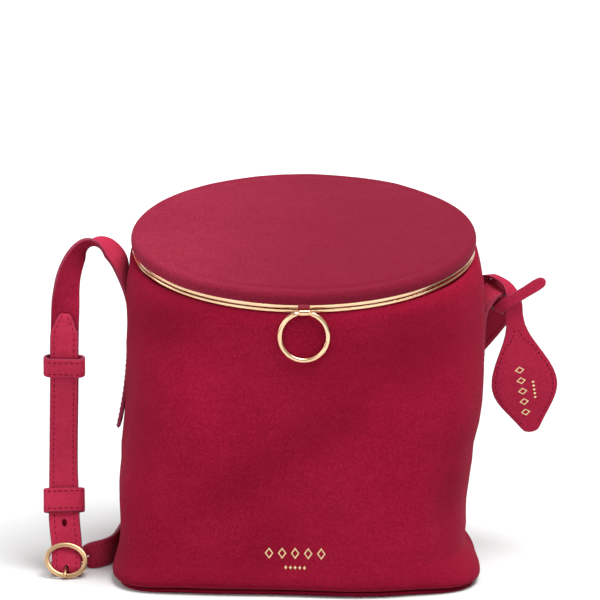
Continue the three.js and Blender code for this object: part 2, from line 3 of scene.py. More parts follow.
import bmesh
import bpy
import numpy as np
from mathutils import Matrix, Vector, noise
from mathutils.bvhtree import BVHTree


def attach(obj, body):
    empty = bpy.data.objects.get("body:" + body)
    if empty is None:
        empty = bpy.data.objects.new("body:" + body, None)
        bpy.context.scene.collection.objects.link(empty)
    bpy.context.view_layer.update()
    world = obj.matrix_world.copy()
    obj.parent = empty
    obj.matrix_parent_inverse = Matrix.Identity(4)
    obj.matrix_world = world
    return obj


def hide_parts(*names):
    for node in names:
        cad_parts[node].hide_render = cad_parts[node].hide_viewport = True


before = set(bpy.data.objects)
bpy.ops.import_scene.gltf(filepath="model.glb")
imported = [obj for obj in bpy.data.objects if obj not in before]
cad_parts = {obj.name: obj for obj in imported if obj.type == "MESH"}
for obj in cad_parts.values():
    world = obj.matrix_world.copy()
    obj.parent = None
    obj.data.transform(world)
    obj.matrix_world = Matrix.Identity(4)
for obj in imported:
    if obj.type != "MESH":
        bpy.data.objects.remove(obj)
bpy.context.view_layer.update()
MM = 0.001
DEGREE = math.pi / 180

# ---- camera

AIM = Vector((1.7, 0, 145)) * MM
CAMERA = {"distance": 1.3, "elevation": 8.5 * DEGREE, "lens": 145.1, "sensor": 36}


def add_object(name, data):
    obj = bpy.data.objects.new(name, data)
    bpy.context.scene.collection.objects.link(obj)
    return obj


def add_camera():
    data = bpy.data.cameras.new("camera")
    data.lens = CAMERA["lens"]
    data.sensor_width = CAMERA["sensor"]
    data.clip_end = 100
    camera = add_object("camera", data)
    tilt = CAMERA["elevation"]
    camera.location = AIM + Vector((0, -math.cos(tilt), math.sin(tilt))) * CAMERA["distance"]
    camera.rotation_euler = (math.pi / 2 - tilt, 0, 0)
    bpy.context.scene.camera = camera


add_camera()

# ---- dimensions

BASE = {"half_width": 92.5, "half_depth": 66, "squareness": 4.2}
MOUTH = {"half_width": 91.4, "half_depth": 71.4, "squareness": 2}
MOUTH_AT = Vector((3.7, 0.9, 174.5))
MOUTH_TILT = 20 * DEGREE
WALL = {"foot": 2.75, "drop": 2.5, "height": 150, "overhang": 1.2, "leather": 1.8,
        "flare": 4.4, "flare_at": 0.026, "swell": 1.2, "sway": 2.5}
RIM = {"lid_height": 2.3, "body_height": 2.05, "split": 0.22, "ledge": 2.4, "width": 3.4, "flange": 3.75}
LID = {"foot": 2.6, "top": 8.9, "crown": 1.4}
STRAP = {"width": 15, "leather": 2, "seam": 0.6, "stitch_inset": 2.3, "point": 11,
         "wider_by": 0.8, "wider_at": 116, "wider_reach": 26, "arch_from": 150,
         "overlap_left_of": -118, "overlap_below": 118}
KEEPER = {"half_width": 9.1, "half_depth": 3, "corner": 3.4, "half_leather": 0.95, "bulge": 0.3}
BUCKLE = {"at": Vector((-123, -31, 9.3)), "lean": 28 * DEGREE, "roll": -12 * DEGREE,
          "half_width": 10.35, "half_height": 8.35, "rim": 1.35, "rim_depth": 0.95,
          "bar_back": 6.6, "bar": 0.9}
TAG = {"at": Vector((117, -6.5, 133.5)), "swing": 9 * DEGREE, "length": 60.4, "half_width": 17.7,
       "neck": 5.2, "half_leather": 0.75, "curl": 0.9}
# The push of the lower front and the spread of its corners over the floor.
LEAN = {"at": 36, "reach": 36, "height": 40, "by": 5.5}
CORNER = {"height": 13, "out": 2.6, "forward": 4.5, "down": 1.2}
# (depth, reach) where the panels turn in at the top, the foot and the side seams, and swell under the rims.
PANEL = {"top": (0.5, 1.5), "foot": (0.9, 1.8), "seam": (0.9, 2.2), "swell": (1.3, 8)}

# ---- materials

CRIMSON = (0.265, 0.0055, 0.026)
CRIMSON_DARK = (0.135, 0.0022, 0.012)
CRIMSON_LIGHT = (0.41, 0.018, 0.06)


class Nodes:
    """A short way to write the node tree of a material or the world."""

    def __init__(self, owner):
        owner.use_nodes = True
        self.owner, self.tree = owner, owner.node_tree

    def put(self, value, socket):
        """Links a node's output to a socket, or sets the socket to a value."""
        if isinstance(value, bpy.types.NodeSocket):
            self.tree.links.new(value, socket)
        elif socket.type == "RGBA":
            socket.default_value = (*value, 1)
        else:
            socket.default_value = value

    def add(self, kind, **settings):
        """A new node. A setting is the node's own, or an input written with _ for each space."""
        node = self.tree.nodes.new(kind)
        for key, value in settings.items():
            if hasattr(node, key):
                setattr(node, key, value)
            else:
                self.put(value, node.inputs[key.replace("_", " ")])
        return node

    def place(self):
        return self.add("ShaderNodeTexCoord").outputs["Object"]

    def along(self, axis):
        return self.add("ShaderNodeSeparateXYZ", Vector=self.place()).outputs[axis]

    def noise(self, scale, detail=3, roughness=0.6, stretch=None, distortion=0.0):
        place = self.place()
        if stretch:
            place = self.add("ShaderNodeMapping", Vector=place, Scale=stretch).outputs["Vector"]
        return self.add("ShaderNodeTexNoise", Vector=place, Scale=scale, Detail=detail,
                        Roughness=roughness, Distortion=distortion).outputs["Fac"]

    def wave(self, place, scale, distortion, direction="X"):
        return self.add("ShaderNodeTexWave", Vector=place, Scale=scale, Distortion=distortion,
                        bands_direction=direction).outputs["Fac"]

    def ramp(self, value, stops):
        node = self.add("ShaderNodeValToRGB", Fac=value)
        while len(node.color_ramp.elements) < len(stops):
            node.color_ramp.elements.new(0.5)
        for element, (position, color) in zip(node.color_ramp.elements, stops):
            element.position = position
            element.color = (*color, 1)
        return node.outputs["Color"]

    def mix(self, factor, a, b):
        node = self.add("ShaderNodeMix", data_type="RGBA")
        for name, value in (("Factor", factor), ("A", a), ("B", b)):
            self.put(value, next(i for i in node.inputs if i.name == name and i.enabled))
        return next(o for o in node.outputs if o.enabled)

    def calculate(self, operation, *values):
        node = self.add("ShaderNodeMath", operation=operation)
        for socket, value in zip(node.inputs, values):
            self.put(value, socket)
        return node.outputs[0]

    def sum(self, a, weight_a, b, weight_b):
        return self.calculate("MULTIPLY_ADD", b, weight_b, self.calculate("MULTIPLY", a, weight_a))

    def remap(self, value, low, high, to_low, to_high, **settings):
        return self.add("ShaderNodeMapRange", Value=value, From_Min=low, From_Max=high,
                        To_Min=to_low, To_Max=to_high, **settings).outputs["Result"]

    def bump(self, height, strength, distance, **below):
        return self.add("ShaderNodeBump", Height=height, Strength=strength, Distance=distance,
                        **below).outputs["Normal"]

    def finish(self, color, normal, roughness, **values):
        shader = self.tree.nodes["Principled BSDF"]
        for key, value in {"Base_Color": color, "Normal": normal, "Roughness": roughness, **values}.items():
            if value is not None:
                self.put(value, shader.inputs[key.replace("_", " ")])
        return self.owner


def new_material(name):
    return Nodes(bpy.data.materials.new(name))


def suede(name, color, light, dark, grain=1.0, sheen=0.08, shade_span=None):
    """Brushed nap: broad patches where it lies either way, fine flecks, and a soft glow at a slant.
    The last argument is the x in metres where painted shade starts to darken the colour and where it reaches
    full strength, so one side reads as turned from the light."""
    n = new_material(name)
    patches = n.noise(17, 2, 0.5, distortion=0.4)
    brushed = n.noise(170, 4, 0.6, (0.35, 0.8, 1))
    flecks = n.noise(900, 3, 0.7)
    fine = n.noise(2400, 2, 0.6)
    stops = [(0.28, dark), (0.52, color), (0.78, light)]
    base = color
    for share, tone in ((0.42, patches), (0.24, brushed), (0.5 * grain, flecks)):
        base = n.mix(share, base, n.ramp(tone, stops))
    # Painted shade: a per-point attribute darkens the colour; the body panels set it higher in their hollows
    # and near the foot.
    painted_shade = n.add("ShaderNodeAttribute", attribute_name="painted_shade").outputs["Fac"]
    base = n.mix(painted_shade, base, [0.62 * c for c in dark])
    # Painted shade: the colour darkens across x, for the side turned from the light.
    if shade_span:
        across = n.remap(n.along("X"), *shade_span, 0, 0.6, interpolation_type="SMOOTHSTEP")
        base = n.mix(across, base, dark)
    normal = n.bump(n.sum(flecks, 0.7, fine, 0.6), 0.45 * grain, 0.0004)
    normal = n.bump(brushed, 0.1, 0.001, Normal=normal)
    return n.finish(base, normal, 0.95, Sheen_Weight=sheen, Sheen_Roughness=0.5,
                    Sheen_Tint=(1, 0.25, 0.36), Specular_IOR_Level=0.03)


def smooth_leather(name, color, light, dark):
    n = new_material(name)
    pebbles = n.add("ShaderNodeTexVoronoi", Vector=n.place(), Scale=1500, feature="SMOOTH_F1")
    tone = n.ramp(n.noise(60, 4, 0.6), [(0.3, dark), (0.55, color), (0.8, light)])
    normal = n.bump(pebbles.outputs["Distance"], 0.25, 0.0003)
    return n.finish(n.mix(0.5, color, tone), normal, 0.5, Specular_IOR_Level=0.35)


def thread():
    n = new_material("thread")
    twist = n.wave(n.place(), 900, 0.5)
    # The thread is a darker tone than the leather; part of that darkness is painted shade for the shadow
    # round each sunk stitch.
    base = n.ramp(twist, [(0.2, (0.125, 0.0035, 0.015)), (0.8, (0.24, 0.0105, 0.034))])
    return n.finish(base, n.bump(twist, 0.4, 0.0002), 0.85, Specular_IOR_Level=0.05)


def gold(name, roughness, depth):
    """Polished plating. depth goes towards a deeper, older gold."""
    n = new_material(name)
    haze = n.noise(90, 3, 0.6)
    scuffs = n.noise(700, 4, 0.7, (1, 1, 6))
    bright = [(0.3, (0.75, 0.475, 0.275)), (0.6, (0.84, 0.57, 0.36)), (0.85, (0.91, 0.66, 0.45))]
    old = [(0.3, (0.42, 0.24, 0.1)), (0.8, (0.52, 0.32, 0.15))]
    base = n.mix(depth, n.ramp(haze, bright), n.ramp(haze, old))
    gloss = n.remap(scuffs, 0, 1, roughness - 0.05, roughness + 0.09)
    return n.finish(base, n.bump(scuffs, 0.04, 0.0002), gloss, Metallic=1.0)


def woven(name, color, light, dark):
    """Fine twill: two crossed sets of threads."""
    n = new_material(name)
    turned = n.add("ShaderNodeMapping", Vector=n.place(), Rotation=(0.5, 0.6, 0.4)).outputs["Vector"]
    weave = n.sum(n.wave(turned, 520, 0.8, "X"), 0.5, n.wave(turned, 520, 0.8, "Z"), 0.5)
    creases = n.ramp(n.noise(45, 3, 0.55), [(0.3, dark), (0.55, color), (0.8, light)])
    base = n.mix(0.4, n.ramp(weave, [(0.2, dark), (0.6, color), (0.9, light)]), creases)
    return n.finish(base, n.bump(weave, 0.35, 0.0003), 0.75, Sheen_Weight=0.25)


def grained(name, texture, stops, bump, roughness, **values):
    """A plain material whose colour and bump both follow one noise."""
    n = new_material(name)
    grain = n.noise(*texture)
    return n.finish(n.ramp(grain, stops), n.bump(grain, *bump), roughness, **values)


SUEDE = suede("suede", CRIMSON, CRIMSON_LIGHT, CRIMSON_DARK)
# The lid's suede carries painted shade, darkening it from x = -80 mm to x = 40 mm so its right side reads as
# turned from the light.
LID_SUEDE = suede("lid_suede", (0.208, 0.0115, 0.031), (0.35, 0.034, 0.068), (0.125, 0.005, 0.016),
                  1.1, 0.16, (-0.08, 0.04))
STRAP_SUEDE = suede("strap_suede", (0.39, 0.021, 0.055), (0.52, 0.046, 0.095), (0.24, 0.01, 0.03),
                    0.85, 0.16)
# The tag's suede is a darker copy of the strap suede: painted shade that holds back the extra light the tag
# catches from the top softbox.
SHADED_TAG_SUEDE = suede("shaded_tag_suede", (0.33, 0.015, 0.044), (0.44, 0.036, 0.08), (0.2, 0.007, 0.022), 0.9, 0.13)
STRAP_BACK = suede("strap_flesh_side", (0.26, 0.009, 0.032), (0.27, 0.013, 0.036), (0.1, 0.002, 0.009),
                   1.3, 0.06)
TRIM = smooth_leather("leather_trim", (0.27, 0.01, 0.034), (0.34, 0.022, 0.055), (0.2, 0.006, 0.02))
EDGE = grained("painted_edge", (420, 3, 0.6),
               [(0.3, (0.2, 0.012, 0.038)), (0.6, (0.26, 0.02, 0.054)), (0.85, (0.32, 0.032, 0.074))],
               (0.2, 0.0004), 0.6, Coat_Weight=0.05, Coat_Roughness=0.4, Specular_IOR_Level=0.18)
THREAD_WITH_SHADE = thread()
GOLD = gold("gold_plate", 0.17, 0.0)
BUCKLE_GOLD = gold("buckle_gold", 0.3, 0.55)
FOIL = grained("foil", (900, 3, 0.7),
               [(0.25, (0.62, 0.4, 0.2)), (0.5, (0.8, 0.58, 0.32)), (0.8, (0.88, 0.7, 0.45))],
               (0.3, 0.0002), 0.34, Metallic=0.85)
LINING = woven("lining", (0.19, 0.02, 0.045), (0.28, 0.04, 0.075), (0.11, 0.01, 0.024))
STEEL = grained("dull_steel", (300, 3, 0.6, (12, 1, 1)),
                [(0.3, (0.34, 0.34, 0.35)), (0.7, (0.52, 0.52, 0.53))], (0.1, 0.0002), 0.35, Metallic=1.0)
BOARD = grained("fibre_board", (500, 5, 0.7, (1, 4, 1)),
                [(0.25, (0.2, 0.15, 0.1)), (0.6, (0.32, 0.26, 0.18)), (0.85, (0.42, 0.35, 0.26))],
                (0.3, 0.0004), 0.85)
FELT = grained("felt", (650, 5, 0.75), [(0.25, (0.55, 0.51, 0.44)), (0.75, (0.74, 0.71, 0.64))],
               (0.5, 0.0006), 0.95)

# ---- mesh making


def make_object(name, points, faces, materials, slots=None, sharp=40, outward=True):
    """A mesh object from millimetre points. slots gives each face's material number."""
    mesh = bpy.data.meshes.new(name)
    mesh.from_pydata((np.asarray(points, float) * MM).tolist(), [], [tuple(map(int, f)) for f in faces])
    for material in materials if isinstance(materials, (list, tuple)) else [materials]:
        mesh.materials.append(material)
    if slots is not None:
        mesh.polygons.foreach_set("material_index", np.asarray(slots, np.int32))
    if outward:
        work = bmesh.new()
        work.from_mesh(mesh)
        bmesh.ops.recalc_face_normals(work, faces=work.faces)
        work.to_mesh(mesh)
        work.free()
    mesh.shade_smooth()
    mesh.set_sharp_from_angle(angle=sharp * DEGREE)
    return add_object(name, mesh)


def grid_faces(rows, columns, wrap_rows=False, wrap_columns=False):
    r = np.arange(rows if wrap_rows else rows - 1)[:, None]
    c = np.arange(columns if wrap_columns else columns - 1)[None, :]
    r2, c2 = (r + 1) % rows, (c + 1) % columns
    quads = np.stack([r * columns + c, r * columns + c2, r2 * columns + c2, r2 * columns + c], -1)
    return quads.reshape(-1, 4).tolist()


def skin_faces(rows, columns, closed=False):
    """Faces over a stack of rings, which is closed into a loop or capped at both ends."""
    faces = grid_faces(rows, columns, closed, True)
    if not closed:
        faces += [list(range(columns))[::-1], [(rows - 1) * columns + i for i in range(columns)]]
    return faces


def skin(name, rings, materials, sharp=40, closed=False, slots=None):
    points = np.stack(rings)
    faces = skin_faces(*points.shape[:2], closed)
    return make_object(name, points.reshape(-1, 3), faces, materials, slots, sharp)


def finish_piece(obj, body, slot, *nodes):
    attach(obj, body)
    if nodes:
        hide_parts(*nodes)
    return obj


def wobble(points, scale, amount, seed=0.0):
    """Smooth signed noise at points, one number each."""
    shift = Vector((seed, 0, 0))
    flat = np.asarray(points).reshape(-1, 3)
    return np.array([noise.noise(Vector(p) * scale + shift) for p in flat]) * amount


def smoothstep(x):
    x = np.clip(x, 0, 1)
    return x * x * (3 - 2 * x)


def round_steps(count):
    """Angles evenly spaced round a full turn."""
    return np.linspace(0, 2 * math.pi, count, endpoint=False)


def unit(vectors):
    return vectors / np.linalg.norm(vectors, axis=-1, keepdims=True)


def run_length(path):
    """The distance along a path to each of its points."""
    return np.concatenate([[0], np.cumsum(np.linalg.norm(np.diff(path, axis=0), axis=1))])


# ---- ovals and the wall


def oval(shape, angle, inset=0.0, scale=1.0):
    c, s, n = np.cos(angle), np.sin(angle), shape["squareness"]
    reach = (np.abs(c) ** n + np.abs(s) ** n) ** (-1 / n) * scale
    return (shape["half_width"] - inset) * reach * c, (shape["half_depth"] - inset) * reach * s


def on_mouth(x, y, height):
    """World place of a point given in the mouth plane."""
    c, s = math.cos(MOUTH_TILT), math.sin(MOUTH_TILT)
    return np.stack([MOUTH_AT.x + x, MOUTH_AT.y + y * c - height * s, MOUTH_AT.z + y * s + height * c], -1)


def settle(points):
    """The soft lower front leans forward on the right, and its corners spread out over the floor."""
    points = np.array(points, float)
    x, y, z = points[..., 0], points[..., 1], points[..., 2]
    front = smoothstep(-y / 40)
    push = np.exp(-((x - LEAN["at"]) / LEAN["reach"]) ** 2) * np.exp(-(z / LEAN["height"]) ** 2) * front
    corner = smoothstep((np.abs(x) / BASE["half_width"] - 0.62) / 0.34) * front
    corner = corner * np.exp(-(z / CORNER["height"]) ** 2)
    points[..., 0] += np.sign(x) * CORNER["out"] * corner
    points[..., 1] -= LEAN["by"] * push + CORNER["forward"] * corner
    points[..., 2] -= CORNER["down"] * corner
    return points


# Soft hollows (negative) and swells of the body: x, z, reach along, reach across, turn in degrees, depth.
FRONT_RELIEF = [
    (13, 83, 24, 11, 24, -2), (-32, 52, 34, 10, 38, -1.3), (58, 124, 38, 20, 14, -3.4),
    (-70, 136, 17, 13, 0, -2.6), (80, 47, 11, 24, 0, -2.6), (-82, 80, 9, 26, 0, -1.2),
    (-57, 103, 20, 26, 16, 1.5), (-34, 34, 34, 12, 10, 0.6), (46, 82, 20, 20, 30, 1),
]
BACK_RELIEF = [
    (20, 90, 50, 13, -30, -2.2), (-50, 130, 28, 20, -15, -2.2), (60, 150, 20, 16, 0, -1.4),
    (-60, 50, 16, 26, 10, -2), (40, 50, 36, 16, 20, 1.2), (-10, 140, 36, 20, 0, 1.2),
    (70, 100, 14, 30, 0, -1.2),
]


def relief(points, bumps):
    x, z = points[..., 0], points[..., 2]
    total = np.zeros(x.shape)
    for bx, bz, along, across, turn, depth in bumps:
        c, s = math.cos(turn * DEGREE), math.sin(turn * DEGREE)
        u = ((x - bx) * c + (z - bz) * s) / along
        v = (-(x - bx) * s + (z - bz) * c) / across
        total += depth * np.exp(-(u * u + v * v))
    return total


def wall(angle, level, inset):
    """The plain wall: a foot oval on the base and a head oval under the rim, with a bulge at the foot."""
    angle, level, inset = np.broadcast_arrays(*(np.asarray(a, float) for a in (angle, level, inset)))
    fx, fy = oval(BASE, angle, inset)
    hx, hy = oval(MOUTH, angle, inset - WALL["overhang"])
    foot = np.stack([fx, fy, np.full(fx.shape, WALL["foot"])], -1)
    head = on_mouth(hx, hy, -WALL["drop"])
    rise = level / WALL["flare_at"]
    bulge = WALL["flare"] * rise * np.exp(1 - rise) + WALL["swell"] * np.sin(math.pi * level)
    points = foot + (head - foot) * level[..., None]
    points[..., 0] += np.cos(angle) * bulge + WALL["sway"] * np.sin(2 * math.pi * (level - 0.5))
    points[..., 1] += np.sin(angle) * bulge
    return points


def side_profile(points):
    """How far each side edge of the slouched body is from the plain wall, positive to the right."""
    y, z = points[..., 1], points[..., 2]
    left = np.interp(z, [0, 17, 27, 38, 49, 60, 70, 92, 102, 124, 146, 157, 170],
                     [0, -0.6, -0.7, -1.1, -1.2, -0.6, -1.3, -1.9, -2.6, -4.5, -4.3, -2.7, 0])
    right = np.interp(z, [0, 8, 17, 27, 38, 49, 60, 70, 81, 92, 102, 124, 146, 157, 170],
                      [0, 0.4, -2.6, -0.2, 0.3, 1.5, 2.3, 2, 3.5, 3.9, 3.6, 2.9, 3, 2.7, 0.7])
    side = points[..., 0] / BASE["half_width"]
    groove = np.exp(-(y / 8.5) ** 4) * smoothstep((z - 66) / 16)
    return (left * smoothstep(-side * 1.6 - 0.5) + right * smoothstep(side * 1.6 - 0.5)) * (1 - groove)


def soft_wall(angle, level, inset):
    """The wall after it has slouched: broad hollows, a leaning foot and small creases."""
    points = wall(angle, level, inset)
    angle = np.broadcast_to(np.asarray(angle, float), points.shape[:-1])
    level = np.broadcast_to(np.asarray(level, float), points.shape[:-1])
    across, deep = np.cos(angle) / BASE["half_width"], np.sin(angle) / BASE["half_depth"]
    outward = unit(np.stack([across, deep, 0 * angle], -1))
    front = smoothstep(-points[..., 1] / 30)
    back = smoothstep(points[..., 1] / 30)
    hold = smoothstep(level / 0.1) * smoothstep((1 - level) / 0.08)
    depth = relief(points, FRONT_RELIEF) * front + relief(points, BACK_RELIEF) * back
    ripple = wobble(points * [1, 1, 0.7], 0.03, 1.1, 7).reshape(depth.shape)
    ripple += wobble(points * [1, 1, 0.6], 0.08, 0.3, 3).reshape(depth.shape)
    points += outward * ((depth + ripple * (front + back)) * hold)[..., None]
    points[..., 0] += side_profile(points)
    return settle(points)


# ---- body


def turn_in(distance, edge):
    depth, reach = PANEL[edge]
    return depth * np.clip(1 - distance / reach, 0, 1) ** 2


def panel_section():
    """(level, inset) pairs up the outside of a panel and down its inside."""
    spans = (0, 0.1, 24), (0.1, 0.94, 74), (0.94, 1, 16)
    levels = np.concatenate([*(np.linspace(*span)[:-1] for span in spans), [1]])
    drop, lift = (1 - levels) * WALL["height"], levels * WALL["height"]
    depth, reach = PANEL["swell"]
    swell = depth * drop / reach * np.exp(1 - drop / reach)
    insets = turn_in(drop, "top") + turn_in(lift, "foot") - swell
    back = np.linspace(1, 0, 9)
    return np.concatenate([levels, back]), np.concatenate([insets, 0 * back + WALL["leather"] + 0.55])


def add_panel(name, start, end, bumps):
    """Half of the body, from one side seam to the other."""
    levels, insets = panel_section()
    edge = 0.004 * np.array([0, 1, 2, 4, 7])
    middle = np.linspace(start + 0.035, end - 0.035, 170)
    angles = np.concatenate([start + edge, middle, end - edge[::-1]])
    from_edge = np.minimum(angles - start, end - angles) * BASE["half_width"]
    points = soft_wall(angles[:, None], levels[None, :], insets[None, :])
    points[..., 0] -= (np.sign(np.cos(angles)) * turn_in(from_edge, "seam"))[:, None]
    obj = skin(name, points, SUEDE)
    # Painted shade: the suede is coloured darker in the hollows and over the lowest 26 mm, and less dark on
    # the swells.
    low = np.clip(1 - points[..., 2] / 26, 0, 1)
    flat = np.clip(0.16 - 0.1 * relief(points, bumps) + 0.3 * low, 0, 0.55)
    painted_shade = obj.data.attributes.new("painted_shade", "FLOAT", "POINT")
    painted_shade.data.foreach_set("value", flat.ravel().astype(np.float32))
    finish_piece(obj, "bag_body", "suede", name.replace("_suede", "_panel"))


def rounded(corners, radius, steps=4):
    """Rounds the corners of a closed outline by cutting each one with a short curve."""
    corners = [np.array(c, float) for c in corners]
    result = []
    for i, corner in enumerate(corners):
        before, after = corners[i - 1] - corner, corners[(i + 1) % len(corners)] - corner
        reach_a = min(radius, np.linalg.norm(before) * 0.48)
        reach_b = min(radius, np.linalg.norm(after) * 0.48)
        a = corner + before / np.linalg.norm(before) * reach_a
        b = corner + after / np.linalg.norm(after) * reach_b
        for k in range(steps + 1):
            t = k / steps
            result.append((1 - t) ** 2 * a + 2 * t * (1 - t) * corner + t * t * b)
    return result


def add_base():
    turn = round_steps(240)
    section = [(91.2, 0.25), (60, 0.05), (30, 0), (8, 0), (2.4, 0.02), (1.1, 0.2), (0.3, 0.65), (0, 1.2),
               (0.15, 1.8), (0.7, 2.25), (2.2, 2.3), (2.3, 1.7)]
    rings = []
    for inset, height in section:
        share = 1 - inset / BASE["half_width"]
        x, y = oval(BASE, turn, 0, share) if inset > 5 else oval(BASE, turn, inset)
        rings.append(settle(np.stack([x, y, 0 * x + height], -1)))
    finish_piece(skin("base_suede", rings, SUEDE, 60), "bag_body", "suede", "base_panel")


add_panel("front_suede", -math.pi, 0, FRONT_RELIEF)
add_panel("back_suede", 0, math.pi, BACK_RELIEF)
add_base()

# ---- rims and lid


def rim_section(sign):
    near, far = RIM["split"], RIM["split"] + (RIM["lid_height"] if sign > 0 else RIM["body_height"])
    face = [(0, near + (far - near) * share) for share in (0.0, 0.2, 0.35, 0.5, 0.65, 0.8, 1.0)]
    corners = [*face, (RIM["ledge"], far), (RIM["ledge"], far + RIM["flange"]),
               (RIM["width"], far + RIM["flange"]), (RIM["width"], near)]
    section = []
    for inset, height in rounded(corners, 0.55):
        swell = max(0, 1 - ((height - (near + far) / 2) / ((far - near) / 2)) ** 2)
        section.append((inset - 0.32 * swell * (inset < 0.3), sign * height))
    return section


def add_rim(name, sign, body, node):
    turn = round_steps(360)
    rings = [on_mouth(*oval(MOUTH, turn, inset), height) for inset, height in rim_section(sign)]
    finish_piece(skin(name, rings, GOLD, 50, True), body, "gold", node)


def soft(x, y, *waves):
    """Gentle unevenness of a flat padded piece."""
    flat = np.stack([x, y, 0 * x], -1)
    return sum(wobble(flat, *wave) for wave in waves)


def add_lid():
    """The padded cover: hollow below, with a rolled edge and a crowned top."""
    turn = round_steps(300)
    foot, top, crown = LID["foot"], LID["top"], LID["crown"]
    inner = 1.4
    stations = [(inner, top - 1.3 + crown * (1 - share ** 2) * 0.9, share)
                for share in np.linspace(0.05, 0.93, 10)]
    edge = [(inner, top - 1.6), (inner, foot), (0.9, foot - 0.02), (0.2, foot - 0.05), (-0.3, foot + 0.02),
            (-0.62, foot + 0.3), (-0.78, foot + 0.9), (-0.9, foot + 2.2), (-0.85, foot + 3.6),
            (-0.6, top - 1.9), (-0.2, top - 1.15), (0.4, top - 0.55), (1.1, top - 0.16), (2.0, top + 0.02),
            (3.0, top + 0.02), (4.2, top - 0.06), (5.8, top - 0.08)]
    stations += [(inset, height, 1) for inset, height in edge]
    stations += [(0, top + crown * (1 - share ** 2.6), share) for share in np.linspace(0.91, 0.03, 34)]
    rings = []
    for inset, height, share in stations:
        x, y = oval(MOUTH, turn, inset, share)
        above = height - foot - 1
        lift = soft(x, y, (0.03, 0.5, 11), (0.09, 0.14, 5)) * smoothstep(above / 5) if above > 0 else 0
        rings.append(on_mouth(x, y, height + lift))
    obj = skin("lid_suede", rings, LID_SUEDE, 70)
    finish_piece(obj, "lid", "suede", "lid_cover")


def add_lid_lining():
    turn = round_steps(200)
    shape = {**MOUTH, "half_width": 87.6, "half_depth": 67.6}
    stations = [(0.04, 2.5), (0.98, 2.5), (1.0, 2.3), (1.0, 2.0), (0.985, 1.82)]
    rings = []
    for share, height in stations + [(share, 1.75) for share in np.linspace(0.96, 0.04, 26)]:
        x, y = oval(shape, turn, 0, share)
        puff = soft(x, y, (0.05, 0.25, 2), (0.16, 0.1, 9)) if height < 1.8 else 0
        rings.append(on_mouth(x, y, height - np.abs(puff)))
    finish_piece(skin("lid_inner_cloth", rings, LINING, 60), "lid", "lining", "lid_lining")


add_rim("body_rim", -1, "bag_body", "mouth_frame")
add_rim("lid_rim", 1, "lid", "lid_frame")
add_lid()
add_lid_lining()

# ---- ribbons and stitches


def spline(points, t):
    """Centripetal curve through points, for an array of t from 0 to 1."""
    points = np.asarray(points, float)
    last = len(points) - 1
    padded = np.vstack([2 * points[0] - points[1], points, 2 * points[-1] - points[-2]])
    place = np.clip(np.asarray(t, float), 0, 1) * last
    i = np.minimum(place.astype(int), last - 1)
    w = (place - i)[:, None]
    p0, p1, p2, p3 = (padded[i + k] for k in range(4))
    gaps = (p0, p1), (p1, p2), (p2, p3)
    d0, d1, d2 = (np.sqrt(np.linalg.norm(b - a, axis=1))[:, None] for a, b in gaps)
    tiny = 1e-4
    d1 = np.where(d1 < tiny, 1, d1)
    d0, d2 = np.where(d0 < tiny, d1, d0), np.where(d2 < tiny, d1, d2)
    m1 = ((p1 - p0) / d0 - (p2 - p0) / (d0 + d1) + (p2 - p1) / d1) * d1
    m2 = ((p2 - p1) / d1 - (p3 - p1) / (d1 + d2) + (p3 - p2) / d2) * d1
    return p1 + m1 * w + (3 * (p2 - p1) - 2 * m1 - m2) * w ** 2 + (2 * (p1 - p2) + m1 + m2) * w ** 3


def frames_along(at, side):
    """Frames (at, along, side, face, distance) down a path, with side turned square to it."""
    along = unit(np.gradient(at, axis=0))
    side = unit(side - along * np.sum(side * along, axis=1, keepdims=True))
    return {"at": at, "along": along, "side": side, "face": np.cross(along, side), "distance": run_length(at)}


def relax(rows, first, last, times):
    """Smooths rows in place, from first up to last."""
    for _ in range(times):
        near = rows[first - 1:last - 1] + rows[first + 1:last + 1]
        rows[first:last] = rows[first:last] * 0.5 + near * 0.25


def ribbon_frames(stations, step=1.5):
    """Evenly spaced frames on a ribbon through (position, across) stations."""
    at, across = (np.array(column, float) for column in zip(*stations))
    t = np.linspace(0, 1, 60 * len(stations))
    run = run_length(spline(at, t))
    count = max(2, round(run[-1] / step)) + 1
    even = np.interp(np.linspace(0, run[-1], count), run, t)
    place, side = spline(at, even), spline(across, even)
    for rows in (place, side):
        relax(rows, 1, len(rows) - 1, 2)
    return frames_along(place, side)


def strip_section(half_width, half_thick, radius, steps=8, crown=0.12):
    """Section of a strip and, for each of its sides, whether it is face 0, edge 1 or back 2."""
    points, kinds = [], []
    for sign, kind in ((1, 0), (-1, 2)):
        for k in range(steps + 1):
            a = sign * (2 * k / steps - 1)
            rise = crown * (1 - a * a) * (kind == 0)
            points.append((a * (half_width - radius), sign * (half_thick + rise)))
            kinds.append(kind if k < steps else 1)
        for eighths in (1, 2, 3, 4.5, 5.5, 6.5):
            turn = eighths * math.pi / 8
            middle = half_thick - radius if eighths < 4 else radius - half_thick
            reach = half_width - radius + radius * math.sin(turn)
            points.append((sign * reach, sign * (middle + radius * math.cos(turn))))
            kinds.append(1)
    return np.array(points), kinds


def strip(name, frames, half_width, half_thick, materials, radius=0.55, ends=1.2):
    """A strip along frames, with rounded ends. half_width may be one number or one for each frame."""
    distance = frames["distance"]
    from_end = np.minimum(distance, distance[-1] - distance)
    closing = np.sqrt(1 - (1 - np.clip(from_end / ends, 0, 1)) ** 2) * 0.96 + 0.04
    widths = np.broadcast_to(half_width, len(distance)) - ends * 0.4 * (1 - closing)
    rings = []
    for at, side, face, width, share in zip(frames["at"], frames["side"], frames["face"], widths, closing):
        section, kinds = strip_section(width, half_thick, min(radius, half_thick * 0.9))
        section = section * [1, share]
        rings.append(at + side * section[:, :1] + face * section[:, 1:])
    return skin(name, rings, materials, 45, slots=kinds * (len(rings) - 1) + [1, 1])


